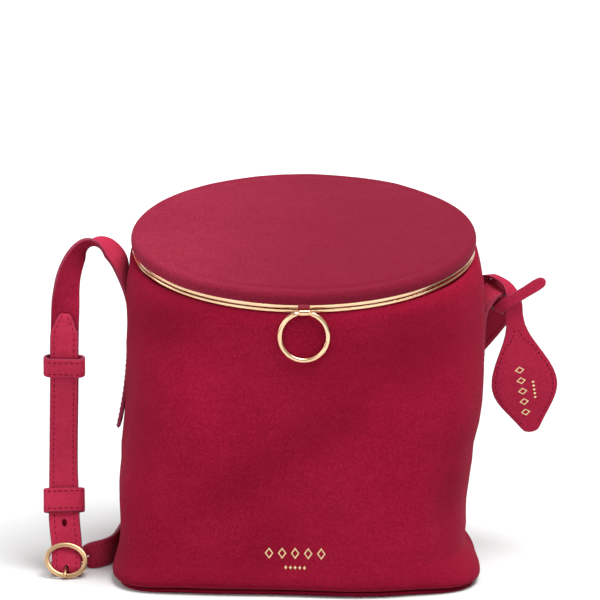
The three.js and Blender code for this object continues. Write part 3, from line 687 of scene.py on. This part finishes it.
def stitches(name, path, up, body, slot, pitch=3.0, length=2.1, radius=0.27):
    """A row of small sewn thread loops lying along path, with up the way out of the leather."""
    path, up = np.asarray(path, float), np.asarray(up, float)
    run = run_length(path)
    start, sink = 1.5, 0.02
    along_steps = np.array([-1, -0.8, -0.35, 0.35, 0.8, 1]) * length / 2
    swell = np.array([0.25, 0.75, 1, 1, 0.75, 0.25]) * radius
    sag = np.array([-1.0, -0.35, 0, 0, -0.35, -1.0]) * radius - sink
    points, faces = [], []
    for centre in np.arange(start, run[-1] - start / 2, pitch):
        at = np.array([np.interp(centre + along_steps, run, path[:, k]) for k in range(3)]).T
        normal = unit(np.array([np.interp(centre, run, up[:, k]) for k in range(3)]))
        side = np.cross(unit(at[-1] - at[0]), normal)
        faces += [[len(points) + i for i in f] for f in skin_faces(6, 6)]
        for middle, drop, size in zip(at, sag, swell):
            points += [middle + normal * drop + (side * math.cos(angle) + normal * math.sin(angle)) * size
                       for angle in round_steps(6)]
    obj = make_object(name, points, faces, THREAD_WITH_SHADE, sharp=80, outward=False)
    return finish_piece(obj, body, slot)


def strap_stitches(name, frames, offset, lift, body, slot, part=slice(None), **settings):
    """Two rows of stitches along a strip, each side of its middle, on its face (lift > 0) or back."""
    reach = np.broadcast_to(offset, len(frames["at"]))[:, None]
    up = np.sign(lift) * frames["face"][part]
    for label, sign in (("a", 1), ("b", -1)):
        path = frames["at"] + frames["side"] * sign * reach + frames["face"] * lift
        stitches(f"{name}_{label}", path[part], up, body, slot, **settings)


def combine(parts):
    points, faces = [], []
    for more_points, more_faces in parts:
        offset = sum(len(p) for p in points)
        points.append(np.asarray(more_points, float))
        faces += [[offset + i for i in f] for f in more_faces]
    return np.concatenate(points), faces


# ---- strap


def sewn_at(angle, level):
    return wall(angle, level, -(STRAP["leather"] / 2 + STRAP["seam"])).tolist()


BUCKLE_UP = Vector((0, math.sin(BUCKLE["lean"]), math.cos(BUCKLE["lean"])))
BUCKLE_OUT = Vector((0, -math.cos(BUCKLE["lean"]), math.sin(BUCKLE["lean"])))


def on_buckle(across, up, out):
    return BUCKLE["at"] + Vector((across, 0, 0)) + BUCKLE_UP * up + BUCKLE_OUT * out


HANG = [(-122.7, -19.2, 141), (-123.3, -19.5, 124), (-123.8, -17, 105), (-124.7, -13.6, 82),
        (-125.4, -10.8, 60), (-125.2, -13, 43), (-124.6, -18.4, 27)]
RIGHT, LEFT, BACK, FRONT, DOWN = (1, 0, 0), (-1, 0, 0), (0, 1, 0), (0, -1, 0), (0, 0, -1)
SHORT_STATIONS = [
    ((sewn_at(math.pi, 0.44)[0] - 1.8, 2, 76), BACK),
    *[(sewn_at(math.pi, level), BACK) for level in (0.56, 0.68, 0.8)],
    ((-90.6, 0.2, 149), (0.1, 0.97, 0.1)),
    ((-92.6, -0.2, 158), (0.25, 0.94, 0.2)),
    ((-95.4, -1.8, 167.2), (0.4, 0.86, 0.3)),
    ((-100.2, -4, 173.2), (0.38, 0.87, 0.32)),
    ((-106.2, -7, 176.2), (0.26, 0.95, 0.08)),
    ((-112.4, -10.6, 175.4), (0.24, 0.88, -0.38)),
    ((-117.3, -14.2, 169.6), (0.46, 0.7, -0.54)),
    ((-120.8, -17, 160.5), (0.72, 0.6, -0.33)),
    ((-122.2, -18.4, 151), (0.88, 0.46, -0.1)),
    *[(at, RIGHT) for at in HANG],
    (on_buckle(-0.3, 8.8, -5.2), RIGHT),
    (on_buckle(0, 2, -7.4), RIGHT),
]
STACK = STRAP["leather"] + 0.45
FLOOR = STRAP["width"] / 2 + 0.4
LONG_STATIONS = [
    *[(sewn_at(0, level), FRONT) for level in (0.5, 0.6, 0.7, 0.76)],
    ((101.4, 0.6, 141), (0.05, -0.96, -0.2)),
    ((106.6, 4.4, 149.5), (0.3, -0.85, -0.35)),
    ((113, 11.5, 150.5), (0.6, -0.55, -0.5)),
    ((115.5, 20.5, 143), (0.85, -0.45, -0.15)),
    ((108.5, 30, 130), (0.95, -0.15, -0.25)),
    ((99, 42, 115.5), (0.92, -0.2, -0.35)),
    ((90.5, 55, 102.5), (0.92, -0.3, -0.3)),
    ((85, 67, 88), (0.93, -0.3, -0.2)),
    ((82, 78, 69), (0.95, -0.2, -0.2)),
    ((79, 85.5, 47), (0.93, 0, -0.3)),
    ((74, 88, 27), (0.7, 0, -0.7)),
    ((65, 88.5, 11.5), (0.25, 0, -1)),
    *[((x, y, FLOOR), DOWN) for x, y in (
        (48, 89), (20, 88), (-30, 89), (-58, 88), (-66.5, 96), (-58, 104), (-20, 105), (20, 104),
        (50, 105), (58.5, 113), (50, 121), (10, 120), (-40, 120), (-74, 110), (-89, 88), (-94, 63),
        (-97, 38), (-98.7, 14), (-100.8, -1), (-104.6, -9.2))],
    ((-110.4, -13.8, 7.7), (-0.1, 0.05, -1)),
    ((-116.6, -15, 6.3), (-0.5, 0.55, -0.65)),
    ((-121.5, -17, 3.4), (-0.8, 0.7, -0.1)),
    ((-123, -21, 1.8), (-1, 0.2, 0)),
    ((-123, -28.4, 1.5), LEFT),
    ((-123, -30.8, 2.3), LEFT),
    (on_buckle(0, -4.4, -2.7), LEFT),
    (on_buckle(0, 0, -2.65), LEFT),
    (on_buckle(-0.2, 8.8, -2.7), LEFT),
    *[((x, y + STACK * dy, z + STACK * dz), LEFT) for (x, y, z), (dy, dz) in zip(
        HANG[::-1], [(-0.93, 0.37), (-0.98, 0.2)] + [(-0.99, -0.14)] * 4 + [(-1, 0)])],
]
HOLES = {"radius": 1.4, "stretch": 1.45, "worn": 1.9, "pitch": 25, "count": 5, "seat": -4.75}


def punch_holes(strap, frames):
    """Five holes for the tongue, with the one in use stretched the most by wear."""
    seat = np.array(on_buckle(0, HOLES["seat"], -2.7))
    nearest = int(np.argmin(np.linalg.norm(frames["at"] - seat, axis=1)))
    from_seat = frames["distance"] - frames["distance"][nearest]
    around = 20
    turn = round_steps(around)[:, None]
    pegs = []
    for i in range(HOLES["count"]):
        k = int(np.argmin(np.abs(from_seat - HOLES["pitch"] * (1 - i))))
        at, along, side, face = (frames[key][k] for key in ("at", "along", "side", "face"))
        stretch = HOLES["worn"] if i == 1 else HOLES["stretch"]
        ring = at + HOLES["radius"] * (np.cos(turn) * side + np.sin(turn) * along * stretch)
        through = face * 3
        pegs.append((np.concatenate([ring - through, ring + through]), skin_faces(2, around)))
    peg = make_object("hole_pegs", *combine(pegs), STRAP_BACK)
    cut = strap.modifiers.new("holes", "BOOLEAN")
    cut.object, cut.operation, cut.solver = peg, "DIFFERENCE", "EXACT"
    evaluated = strap.evaluated_get(bpy.context.evaluated_depsgraph_get())
    mesh = bpy.data.meshes.new_from_object(evaluated)
    strap.modifiers.clear()
    strap.data = mesh
    bpy.data.objects.remove(peg)


def add_straps():
    half, thick = STRAP["width"] / 2, STRAP["leather"] / 2
    short, long = ribbon_frames(SHORT_STATIONS), ribbon_frames(LONG_STATIONS)
    piece = strip("strap_short_leather", short, half, thick, [STRAP_BACK, EDGE, STRAP_SUEDE])
    finish_piece(piece, "bag_body", "strap_suede", "strap_short")
    # The long strap ends in a point, and is a little wider where it comes up through the buckle.
    left = long["distance"][-1] - long["distance"]
    tip = 0.36
    width = half * np.minimum(1, tip + (1 - tip) * np.clip(left / STRAP["point"], 0, 1) ** 0.8)
    width = width + STRAP["wider_by"] * np.exp(-((left - STRAP["wider_at"]) / STRAP["wider_reach"]) ** 2)
    piece = strip("strap_long_leather", long, width, thick, [STRAP_SUEDE, EDGE, STRAP_SUEDE])
    finish_piece(piece, "bag_body", "strap_suede", "strap_long")
    # The short strap is sewn only up to the arch and again under the end of the long one.
    x, _, z = short["at"].T
    sewn = slice(0, int(np.argmax(z > STRAP["arch_from"])))
    hidden = slice(int(np.argmax((x < STRAP["overlap_left_of"]) & (z < STRAP["overlap_below"]))), None)
    whole = slice(None)
    inset = half - STRAP["stitch_inset"]
    near_edge = np.minimum(inset, width - 2.1)
    for name, frames, reach, lift, part in (
            ("short_sewn_stitches", short, inset, thick + 0.05, sewn),
            ("short_lower_stitches", short, inset, thick + 0.05, hidden),
            ("long_stitches", long, near_edge, thick + 0.05, whole),
            ("long_back_stitches", long, near_edge, -thick, whole)):
        strap_stitches(name, frames, reach, lift, "bag_body", "strap_suede", part)
    punch_holes(piece, long)


add_straps()


def oblong(half_width, half_depth, radius, steps=7):
    """Points round a rounded rectangle, with the outward direction at each."""
    points, out = [], []
    for x, y, start in ((1, 1, 0), (-1, 1, 90), (-1, -1, 180), (1, -1, 270)):
        corner = np.array([x * (half_width - radius), y * (half_depth - radius)])
        for k in range(steps + 1):
            turn = (start + 90 * k / steps) * DEGREE
            out.append(np.array([math.cos(turn), math.sin(turn)]))
            points.append(corner + radius * out[-1])
    return np.array(points), np.array(out)


def add_keeper(name, node, height, body, tall):
    """A stiff leather loop round both straps."""
    hanging = ribbon_frames(SHORT_STATIONS[-len(HANG) - 2:], 0.5)
    i = int(np.argmin(np.abs(hanging["at"][:, 2] - height)))
    side, face, along = (hanging[key][i] for key in ("side", "face", "along"))
    at = hanging["at"][i] + face * STACK / 2
    half, reach = KEEPER["half_leather"], tall / 2
    path, out = oblong(KEEPER["half_width"] + half, KEEPER["half_depth"] + half, KEEPER["corner"])
    section = rounded([(-half, -reach), (half, -reach), (half, reach), (-half, reach)], 0.8)
    bulge = [KEEPER["bulge"] * (1 - (h / reach) ** 2) if d > 0 else 0 for d, h in section]
    rings = []
    for (x, y), (dx, dy) in zip(path, out):
        rings.append([at + side * (x + dx * (d + b)) + face * (y + dy * (d + b)) + along * h
                      for (d, h), b in zip(section, bulge)])
    after = section[1:] + section[:1]
    kinds = [int(abs(a[1] + b[1]) / 2 > reach - 0.4) for a, b in zip(section, after)]
    obj = skin(name, rings, [STRAP_SUEDE, EDGE], 50, True, kinds * len(rings))
    finish_piece(obj, body, "strap_suede", node)
    for label, up in (("top", reach - 1.9), ("bottom", 1.9 - reach)):
        row = [at + side * (x + dx * 1.05) + face * (y + dy * 1.15) + along * up
               for (x, y), (dx, dy) in zip(path, out) if y > 0]
        row = spline(row, np.linspace(0.12, 0.88, 60))
        stitches(f"{name}_{label}_stitches", row, np.tile(face, (60, 1)), body, "strap_suede")


add_keeper("keeper_loop_upper", "keeper_upper", 112.8, "keeper", 10.4)
add_keeper("keeper_loop_lower", "keeper_lower", 38, "bag_body", 13)


def tube(path, radii, spin_steps, side, closed=False):
    """Points and faces of a round wire along path. radii has a number for each point."""
    path = np.asarray(path, float)
    along = np.roll(path, -1, 0) - np.roll(path, 1, 0) if closed else np.gradient(path, axis=0)
    along = unit(along)
    across = unit(side - along * (along @ side)[:, None])
    spin = round_steps(spin_steps)[:, None]
    rings = []
    for at, a, b, radius in zip(path, across, np.cross(along, across), radii):
        rings.append(at + radius * (np.cos(spin) * a + np.sin(spin) * b))
    return np.concatenate(rings), skin_faces(len(path), spin_steps, closed)


def capsule(start, end, radius):
    """A straight pin with domed ends."""
    start, end = np.array(start), np.array(end)
    domes = [(radius * math.cos(turn), radius * math.sin(turn))
             for turn in np.linspace(0.08, 1, 6) * math.pi / 2]
    direction = unit(end - start)
    path = [start - direction * out for out, _ in domes] + [end + direction * out for out, _ in domes[::-1]]
    sizes = [size for _, size in domes + domes[::-1]]
    return tube(path, sizes, 20, np.array(BUCKLE_UP))


def add_buckle():
    """An oval ring with a bar set behind it."""
    around, spin_steps = 120, 20
    half, tall, back = BUCKLE["half_width"], BUCKLE["half_height"], -BUCKLE["bar_back"]
    c2, s2 = math.cos(BUCKLE["roll"]), math.sin(BUCKLE["roll"])
    ring = []
    for angle in round_steps(around):
        for spin in round_steps(spin_steps):
            c, s = math.cos(spin), math.sin(spin)
            reach = BUCKLE["rim"] * math.copysign(abs(c) ** 0.75, c)
            out = BUCKLE["rim_depth"] * math.copysign(abs(s) ** 0.85, s)
            x, y = (half + reach) * math.cos(angle), (tall + reach) * math.sin(angle)
            ring.append(on_buckle(x * c2 - y * s2, x * s2 + y * c2, out))
    parts = [(np.array(ring), grid_faces(around, spin_steps, True, True))]
    pins = [(-half, back, half), (-half, 0, -half), (half, 0, half)]
    parts += [capsule(on_buckle(x, 0, out), on_buckle(far, 0, back), BUCKLE["bar"]) for x, out, far in pins]
    obj = make_object("buckle_hoop", *combine(parts), BUCKLE_GOLD, sharp=60)
    finish_piece(obj, "bag_body", "gold", "buckle_frame")


def add_prong():
    wire = [(-1.7, -6.5), (-3.7, -5.6), (-4.6, -4.2), (-4.9, -1.5), (-5.7, 0.7), (-7.2, 2.0), (-8.6, 2.3),
            (-9.8, 1.8)]
    places = np.linspace(0, 1, 40)
    path = spline([on_buckle(0, up, out) for up, out in wire], places)
    radii = np.interp(places, [0, 0.75, 0.92, 0.97, 1], [0.8, 0.85, 1.15, 1.0, 0.35])
    collar = [on_buckle(x, 0, -BUCKLE["bar_back"]) for x in (-1.3, -1.25, -1.1, 1.1, 1.25, 1.3)]
    sizes = [1.25, 1.85, 2.1, 2.1, 1.85, 1.25]
    parts = [tube(path, radii, 16, RIGHT), tube(collar, sizes, 24, np.array(BUCKLE_UP))]
    obj = make_object("buckle_tongue", *combine(parts), BUCKLE_GOLD, sharp=60)
    finish_piece(obj, "prong", "gold", "buckle_prong")


add_buckle()
add_prong()

# ---- ring pull

PULL = {"v": -74.8, "rise": -0.2, "radius": 12.3, "wire": 1.33, "width": 6}


def add_pull():
    def on_front(v, height):
        return on_mouth(np.float64(0), np.float64(v), np.float64(height))

    axis = on_front(PULL["v"], PULL["rise"])
    radius, wire, half = PULL["radius"], PULL["wire"], PULL["width"] / 2
    turn = round_steps(144)
    path = axis + np.stack([radius * np.sin(turn), 0 * turn, radius * np.cos(turn) - radius], -1)
    gap = np.abs((turn + math.pi) % (2 * math.pi) - math.pi) * radius
    ring = tube(path, np.interp(gap, [2.6, 3.6, 4.4], [0.8, 1.0, wire]), 18, BACK, True)
    finish_piece(make_object("pull_hoop", *ring, GOLD, sharp=60), "ring", "gold", "pull_ring")

    # Barrel with a shallow groove near each end.
    places = np.array([-1, -0.97, -0.9, -0.74, -0.7, -0.66, 0.66, 0.7, 0.74, 0.9, 0.97, 1]) * half
    sizes = [1.2, 1.55, 1.7, 1.7, 1.55, 1.7, 1.7, 1.55, 1.7, 1.7, 1.55, 1.2]
    barrel = tube([axis + np.array([x, 0, 0]) for x in places], sizes, 28, BACK)
    finish_piece(make_object("pull_barrel", *barrel, GOLD, sharp=40), "lid", "gold", "ring_barrel")

    # The leather tab comes from under the lid's edge and folds over the rims onto the barrel.
    down = -(MOUTH["half_depth"] + 0.9)
    route = [(-69.6, 3.2), (-70.6, 3.0), (-71.6, 2.75), (down, 2.0), (down - 0.1, 0.8), (down, -0.6),
             (down + 0.05, -1.6)]
    path = spline([on_front(v, height) for v, height in route], np.linspace(0, 1, 40))
    frames = frames_along(path, np.tile([1.0, 0, 0], (40, 1)))
    tab = strip("pull_leather", frames, half, 0.5, [TRIM, EDGE, TRIM], 0.3, 0.5)
    finish_piece(tab, "lid", "leather_trim", "pull_tab")


add_pull()

# ---- hang tag

THONG_STATIONS = [
    ((132.4, -9.6, 157.3), (-0.48, 0, 0.87)),
    ((127.1, -10, 154.1), (-0.48, 0, 0.87)),
    ((119.1, -10.3, 149.2), (-0.48, 0, 0.87)),
    ((112.2, -9.6, 145.1), (-0.5, 0, 0.85)),
    ((108.6, -5.2, 141.2), (-0.7, 0.2, 0.65)),
    ((108.6, 3, 138.5), (-0.95, 0, 0.3)),
    ((108.6, 11.5, 140.5), LEFT),
    ((104.6, 18.8, 147.3), (-1, 0, -0.2)),
    ((101.8, 17.2, 153.4), (-0.97, -0.2, 0.1)),
    ((104, 12, 156.6), (-0.8, -0.55, 0)),
    ((108.2, 6, 156), (-0.65, -0.72, 0)),
    ((112.8, 0, 153.4), (-0.65, -0.7, -0.1)),
    ((115.4, -4.2, 148.8), (-0.9, -0.35, 0)),
    ((116.4, -6.2, 143.5), (-1, -0.1, 0.1)),
    ((116.3, -6.5, 138), (-1, 0, 0.15)),
]


def bezier(*corners):
    t = np.linspace(0, 1, 16)[:, None]
    a, b, c, d = np.array(corners, float)
    return (1 - t) ** 3 * a + 3 * t * (1 - t) ** 2 * b + 3 * t * t * (1 - t) * c + t ** 3 * d


def tag_half_width(drop):
    """Half the tag's width at a distance down from its neck."""
    w, length, neck = TAG["half_width"], TAG["length"], TAG["neck"]
    upper = bezier((neck, 0), (neck + 0.4, 10), (w, 22), (w, 33.5))
    lower = bezier((w, 33.5), (w, 42), (11, length - 12.5), (5.3, length - 3.2))
    tip = [(4.3, length - 1.9), (3.2, length - 0.95), (2, length - 0.36), (0.9, length - 0.07), (0.2, length)]
    outline = np.vstack([upper, lower[1:], tip])
    return np.interp(drop, outline[:, 1], outline[:, 0])


def tag_curl(drop):
    """How far the leaf stands forward at a distance below its neck."""
    return TAG["curl"] * np.sin(drop / TAG["length"] * math.pi)


def tag_frames(first, last, back=0.0, step=0.8):
    """Frames down the flat of the tag, from a distance below its neck to another."""
    drop = np.arange(first, last + step / 2, step)
    swing = TAG["swing"]
    down = np.array([math.sin(swing), 0, -math.cos(swing)])
    at = np.array(TAG["at"]) + drop[:, None] * down
    at[:, 1] += back - tag_curl(drop)
    along = np.tile(down, (len(drop), 1))
    side = np.tile([-math.cos(swing), 0, -math.sin(swing)], (len(drop), 1))
    face = np.cross(along, side)
    return {"at": at, "along": along, "side": side, "face": face, "distance": drop - first}, drop


def add_tag():
    leaf, drop = tag_frames(2.5, TAG["length"])
    above = leaf["at"][0] - 0.5 * leaf["along"][0]
    thong = ribbon_frames(THONG_STATIONS + [(tuple(above), LEFT)], 1.2)
    at, side = (np.concatenate([thong[key], leaf[key]]) for key in ("at", "side"))
    joint = len(thong["at"])
    for rows in (at, side):
        relax(rows, joint - 6, joint + 6, 3)
    run = thong["distance"][-1]
    thong_width = np.interp(thong["distance"], [0, 1, 2.6, 6, 12, run - 26, run - 12, run],
                            [1.3, 2.2, 2.95, 3.2, 3.0, 3.1, 4.4, tag_half_width(0)])
    widths = np.concatenate([thong_width, tag_half_width(drop)])
    look = [SHADED_TAG_SUEDE, EDGE, SHADED_TAG_SUEDE]
    tag = strip("tag_leather", frames_along(at, side), widths, TAG["half_leather"], look, 0.4, 1.0)
    finish_piece(tag, "tag", "strap_suede", "hang_tag")

    rear, drop = tag_frames(4, TAG["length"] - 0.5, 1.35)
    tag = strip("tag_rear", rear, tag_half_width(drop) - 0.15, 0.5, [TRIM, EDGE, TRIM], 0.3, 0.8)
    finish_piece(tag, "tag", "leather_trim", "hang_tag_backing")

    # Border stitching on both sides of the leaf, meeting in a small V at the neck.
    sewn, drop = tag_frames(3, TAG["length"] - 4.2)
    reach = np.maximum(tag_half_width(drop) - 2.2, 0.4)
    reach = np.minimum(reach, np.interp(drop, [3, 9], [0.4, 3.4]) + np.maximum(drop - 9, 0))
    rows = ("tag_stitches", -0.78, "strap_suede"), ("tag_rear_stitches", 1.95, "leather_trim")
    for name, lift, slot in rows:
        strap_stitches(name, sewn, reach, lift, "tag", slot, pitch=2.7, length=1.9, radius=0.3)


add_tag()

# ---- foil motif


def foil_shapes(half_row=15.7, count=5, gap=7.3):
    """A row of open lozenges over a row of tiny filled ones, as (outline, size of its opening)."""
    shapes = []
    for half, reach, high, up, opening in ((half_row, 2.2, 3, 0, 0.66), (half_row * 0.36, 0.8, 1, -gap, 0)):
        for x in np.linspace(reach - half, half - reach, count):
            shapes.append(([(x + reach, up), (x, up + high), (x - reach, up), (x, up - high)], opening))
    return shapes


def stamp(name, place, body):
    """Thin raised foil shapes. place turns (across, up) into a point on the leather and the way out."""
    points, faces = [], []
    for outline, opening in foil_shapes():
        middle = np.mean(outline, axis=0)
        dense = []
        for a, b in zip(outline, outline[1:] + outline[:1]):
            dense += [np.array(a) + (np.array(b) - np.array(a)) * k / 5 for k in range(5)]
        levels = [(1.0, -0.15), (1.0, 0.07), (0.9, 0.11), (0.45, 0.12)]
        if opening:
            levels[2:] = [(0.96, 0.11), (opening + 0.04, 0.11), (opening, 0.07), (opening, -0.15)]
        faces += [[len(points) + i for i in f] for f in skin_faces(len(levels), len(dense), bool(opening))]
        for share, lift in levels:
            for p in dense:
                spot, out = place(*(middle + (p - middle) * share))
                points.append(np.array(spot) + np.array(out) * lift)
    finish_piece(make_object(name, points, faces, FOIL, sharp=50), body, "gold")


def add_motifs():
    mesh = bpy.data.objects["front_suede"].data
    tree = BVHTree.FromPolygons([v.co.copy() for v in mesh.vertices], [p.vertices[:] for p in mesh.polygons])
    centre = Vector((-0.8, -200, 22.6))

    def on_front(across, up):
        start = (centre + Vector((across, 0, up))) * MM
        spot, normal, *_ = tree.ray_cast(start, Vector(BACK))
        return spot / MM, normal if normal.y < 0 else -normal

    c, s = math.cos(TAG["swing"]), math.sin(TAG["swing"])
    down, level = Vector((s, 0, -c)), Vector((c, 0, s))

    def on_tag(across, up):
        scale, surface = 0.86, TAG["half_leather"] + 0.1
        drop = 37 - across * scale
        spot = TAG["at"] + down * drop + level * (-1.5 - up * scale)
        return spot + Vector(FRONT) * (surface + tag_curl(drop)), Vector(FRONT)

    stamp("body_motif", on_front, "bag_body")
    stamp("tag_motif", on_tag, "tag")


add_motifs()

# ---- inside


def add_lining():
    """The cloth bag inside, with soft upright folds and a flattened floor."""
    turn = round_steps(220)
    top = 0.93
    levels = np.linspace(0.012, top, 60)
    folds = 0.5 * np.sin(turn * 17) + 0.35 * np.sin(turn * 29 + 1)
    rings = [soft_wall(turn, level, 2.7) for level in levels]
    for level in levels[::-1]:
        swing = smoothstep(level / 0.2) * smoothstep((top - level) / 0.15)
        rings.append(soft_wall(turn, level, 3.6 + np.clip(folds * swing + 0.3, 0, 1)))
    foot = rings[-1]
    middle = np.array([0, 0, foot[0, 2] + 0.5])
    for share in np.linspace(0.97, 0.05, 16):
        points = middle + (foot - middle) * share
        points[:, 2] = foot[:, 2] + 0.5 + np.abs(wobble(points, 0.06, 0.5, 4))
        rings.append(points)
    finish_piece(skin("lining_cloth", rings, LINING, 60), "bag_body", "lining", "body_lining")


def add_facing():
    """The leather band inside the mouth, sewn along both edges."""
    turn = round_steps(240)
    section = [(0.86, 0.2), (0.965, 0.2), (0.968, 0.35), (0.968, 0.75), (0.965, 0.95), (0.93, 1.05),
               (0.9, 1.0), (0.863, 0.95), (0.858, 0.75), (0.858, 0.4)]
    rings = [soft_wall(turn, level, 4.4 + depth) for level, depth in section]
    obj = skin("facing_leather", rings, TRIM, 50, True)
    finish_piece(obj, "bag_body", "leather_trim", "mouth_facing")
    closed = np.append(turn, turn[0])
    inward = -np.stack([np.cos(closed), np.sin(closed), 0 * closed], -1)
    for label, level in (("upper", 0.955), ("lower", 0.872)):
        path = soft_wall(closed, level, 5.45)
        stitches(f"facing_stitches_{label}", path, inward, "bag_body", "leather_trim", pitch=3.2)


def add_pocket():
    """A patch pocket with a turned hem, sewn on three sides."""
    columns = 90
    angles = np.linspace(58, 122, columns) * DEGREE
    levels = [*np.linspace(0.352, 0.7, 30), 0.704, 0.708, 0.748, 0.75]
    hem = [0] * 30 + [0.3, 0.55, 0.5, 0.3]
    belly = 0.5 * np.sin(math.pi * np.linspace(0, 1, columns))
    outer = np.stack([soft_wall(angles, level, 4.5) for level in levels])
    inner = np.stack([soft_wall(angles, level, 5.2 + d + belly) for level, d in zip(levels[::-1], hem[::-1])])
    inner[..., 1] -= np.abs(wobble(inner, 0.06, 0.5, 8).reshape(inner.shape[:2]))
    points = np.concatenate([outer, inner])
    rows = len(points)
    faces = grid_faces(rows, columns, wrap_rows=True)
    faces += [[r * columns for r in range(rows)], [r * columns + columns - 1 for r in range(rows)][::-1]]
    obj = make_object("pocket_cloth", points.reshape(-1, 3), faces, LINING, sharp=60)
    finish_piece(obj, "bag_body", "lining", "slip_pocket")
    low, high = 0.365, 0.74
    route = [(60, level) for level in np.linspace(high, low, 20)]
    route += [(across, low) for across in np.linspace(61, 119, 60)]
    route += [(120, level) for level in np.linspace(low, high, 20)]
    edge = np.array([soft_wall(a * DEGREE, level, 5.7) for a, level in route])
    stitches("pocket_stitches", edge, np.tile(FRONT, (len(edge), 1)), "bag_body", "lining", pitch=2.6)


add_lining()
add_facing()
add_pocket()

# ---- carried-over frame parts

FRAME_LOOKS = {
    "base_board": BOARD, "lid_board": BOARD, "lid_padding": FELT, "lid_magnet": STEEL,
    "hinge_leaf_body": GOLD, "hinge_leaf_lid": GOLD, "hinge_pin": GOLD,
}
for node_name, material in FRAME_LOOKS.items():
    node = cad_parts[node_name]
    node.data.materials.clear()
    node.data.materials.append(material)

# ---- studio


def add_plane(name, corners, n):
    """A flat sheet of the studio, in metres. n is its material's nodes."""
    mesh = bpy.data.meshes.new(name)
    mesh.from_pydata(corners, [], [(0, 1, 2, 3)])
    mesh.materials.append(n.owner)
    sheet = add_object(name, mesh)
    return sheet


def add_floor():
    n = new_material("floor")
    tone = n.ramp(n.noise(0.6, 2, 0.5), [(0.3, (0.69, 0.7, 0.7)), (0.7, (0.71, 0.72, 0.72))])
    # The backdrop glows more the further it is from the bag.
    glow = n.remap(n.calculate("ABSOLUTE", n.along("Y")), 0.15, 1.6, 0.0, 0.75)
    n.finish(tone, None, 0.9, Specular_IOR_Level=0.1, Emission_Color=(1, 1, 1), Emission_Strength=glow)
    reach = 40
    add_plane("floor", [(-reach, -reach, 0), (reach, -reach, 0), (reach, reach, 0), (-reach, reach, 0)], n)


def add_area(name, at, aim, size, power):
    data = bpy.data.lights.new(name, "AREA")
    data.shape = "RECTANGLE"
    data.size, data.size_y = size
    data.energy = power
    light = add_object(name, data)
    light.location = at
    light.rotation_euler = (Vector(aim) - Vector(at)).to_track_quat("-Z", "Y").to_euler()


def add_studio():
    world = bpy.data.worlds.new("studio")
    bpy.context.scene.world = world
    n = Nodes(world)

    def towards(direction, *limits):
        """How nearly a view into the room faces a direction, between limits."""
        facing = n.add("ShaderNodeVectorMath", operation="DOT_PRODUCT")
        n.put(n.add("ShaderNodeTexCoord").outputs["Generated"], facing.inputs[0])
        n.put(direction, facing.inputs[1])
        return n.remap(facing.outputs["Value"], *limits)

    # The room is brightest above and at the back, dim low in front, and has a dark doorway on the right.
    room = towards((0.1, 0.45, 0.75), -0.5, 1.0, 0.15, 0.95)
    doorway = towards((0.95, 0.3, -0.05), 0.8, 0.93, 1.0, 0.08)
    background = n.tree.nodes["Background"]
    n.put(n.calculate("MULTIPLY", room, doorway), background.inputs["Strength"])
    n.put((1, 1, 1), background.inputs["Color"])
    add_area("top_softbox", (0.45, -0.45, 1.6), (0, 0, 0.12), (1.0, 0.8), 34)
    add_area("left_strip", (-1.4, -0.1, 0.7), (0, 0, 0.12), (0.5, 1.0), 4.5)
    add_area("front_fill", (-1.2, -2.0, 0.9), (0, 0, 0.1), (1.0, 1.0), 9)
    bpy.context.scene.view_settings.view_transform = "Standard"


def add_dark_card():
    """A dark card off to the right, seen only in glossy surfaces, as a dark streak in the metal."""
    n = new_material("dark_card")
    tone = n.ramp(n.noise(5, 2, 0.5), [(0.3, (0.015, 0.008, 0.006)), (0.7, (0.03, 0.018, 0.012))])
    n.finish(tone, None, 0.9)
    left, right, top = (0.24, -0.09), (0.31, 0.22), 0.14
    card = add_plane("dark_card", [(*left, 0), (*right, 0), (*right, top), (*left, top)], n)
    for kind in ("camera", "diffuse", "shadow", "transmission"):
        setattr(card, "visible_" + kind, False)


add_floor()
add_dark_card()
add_studio()
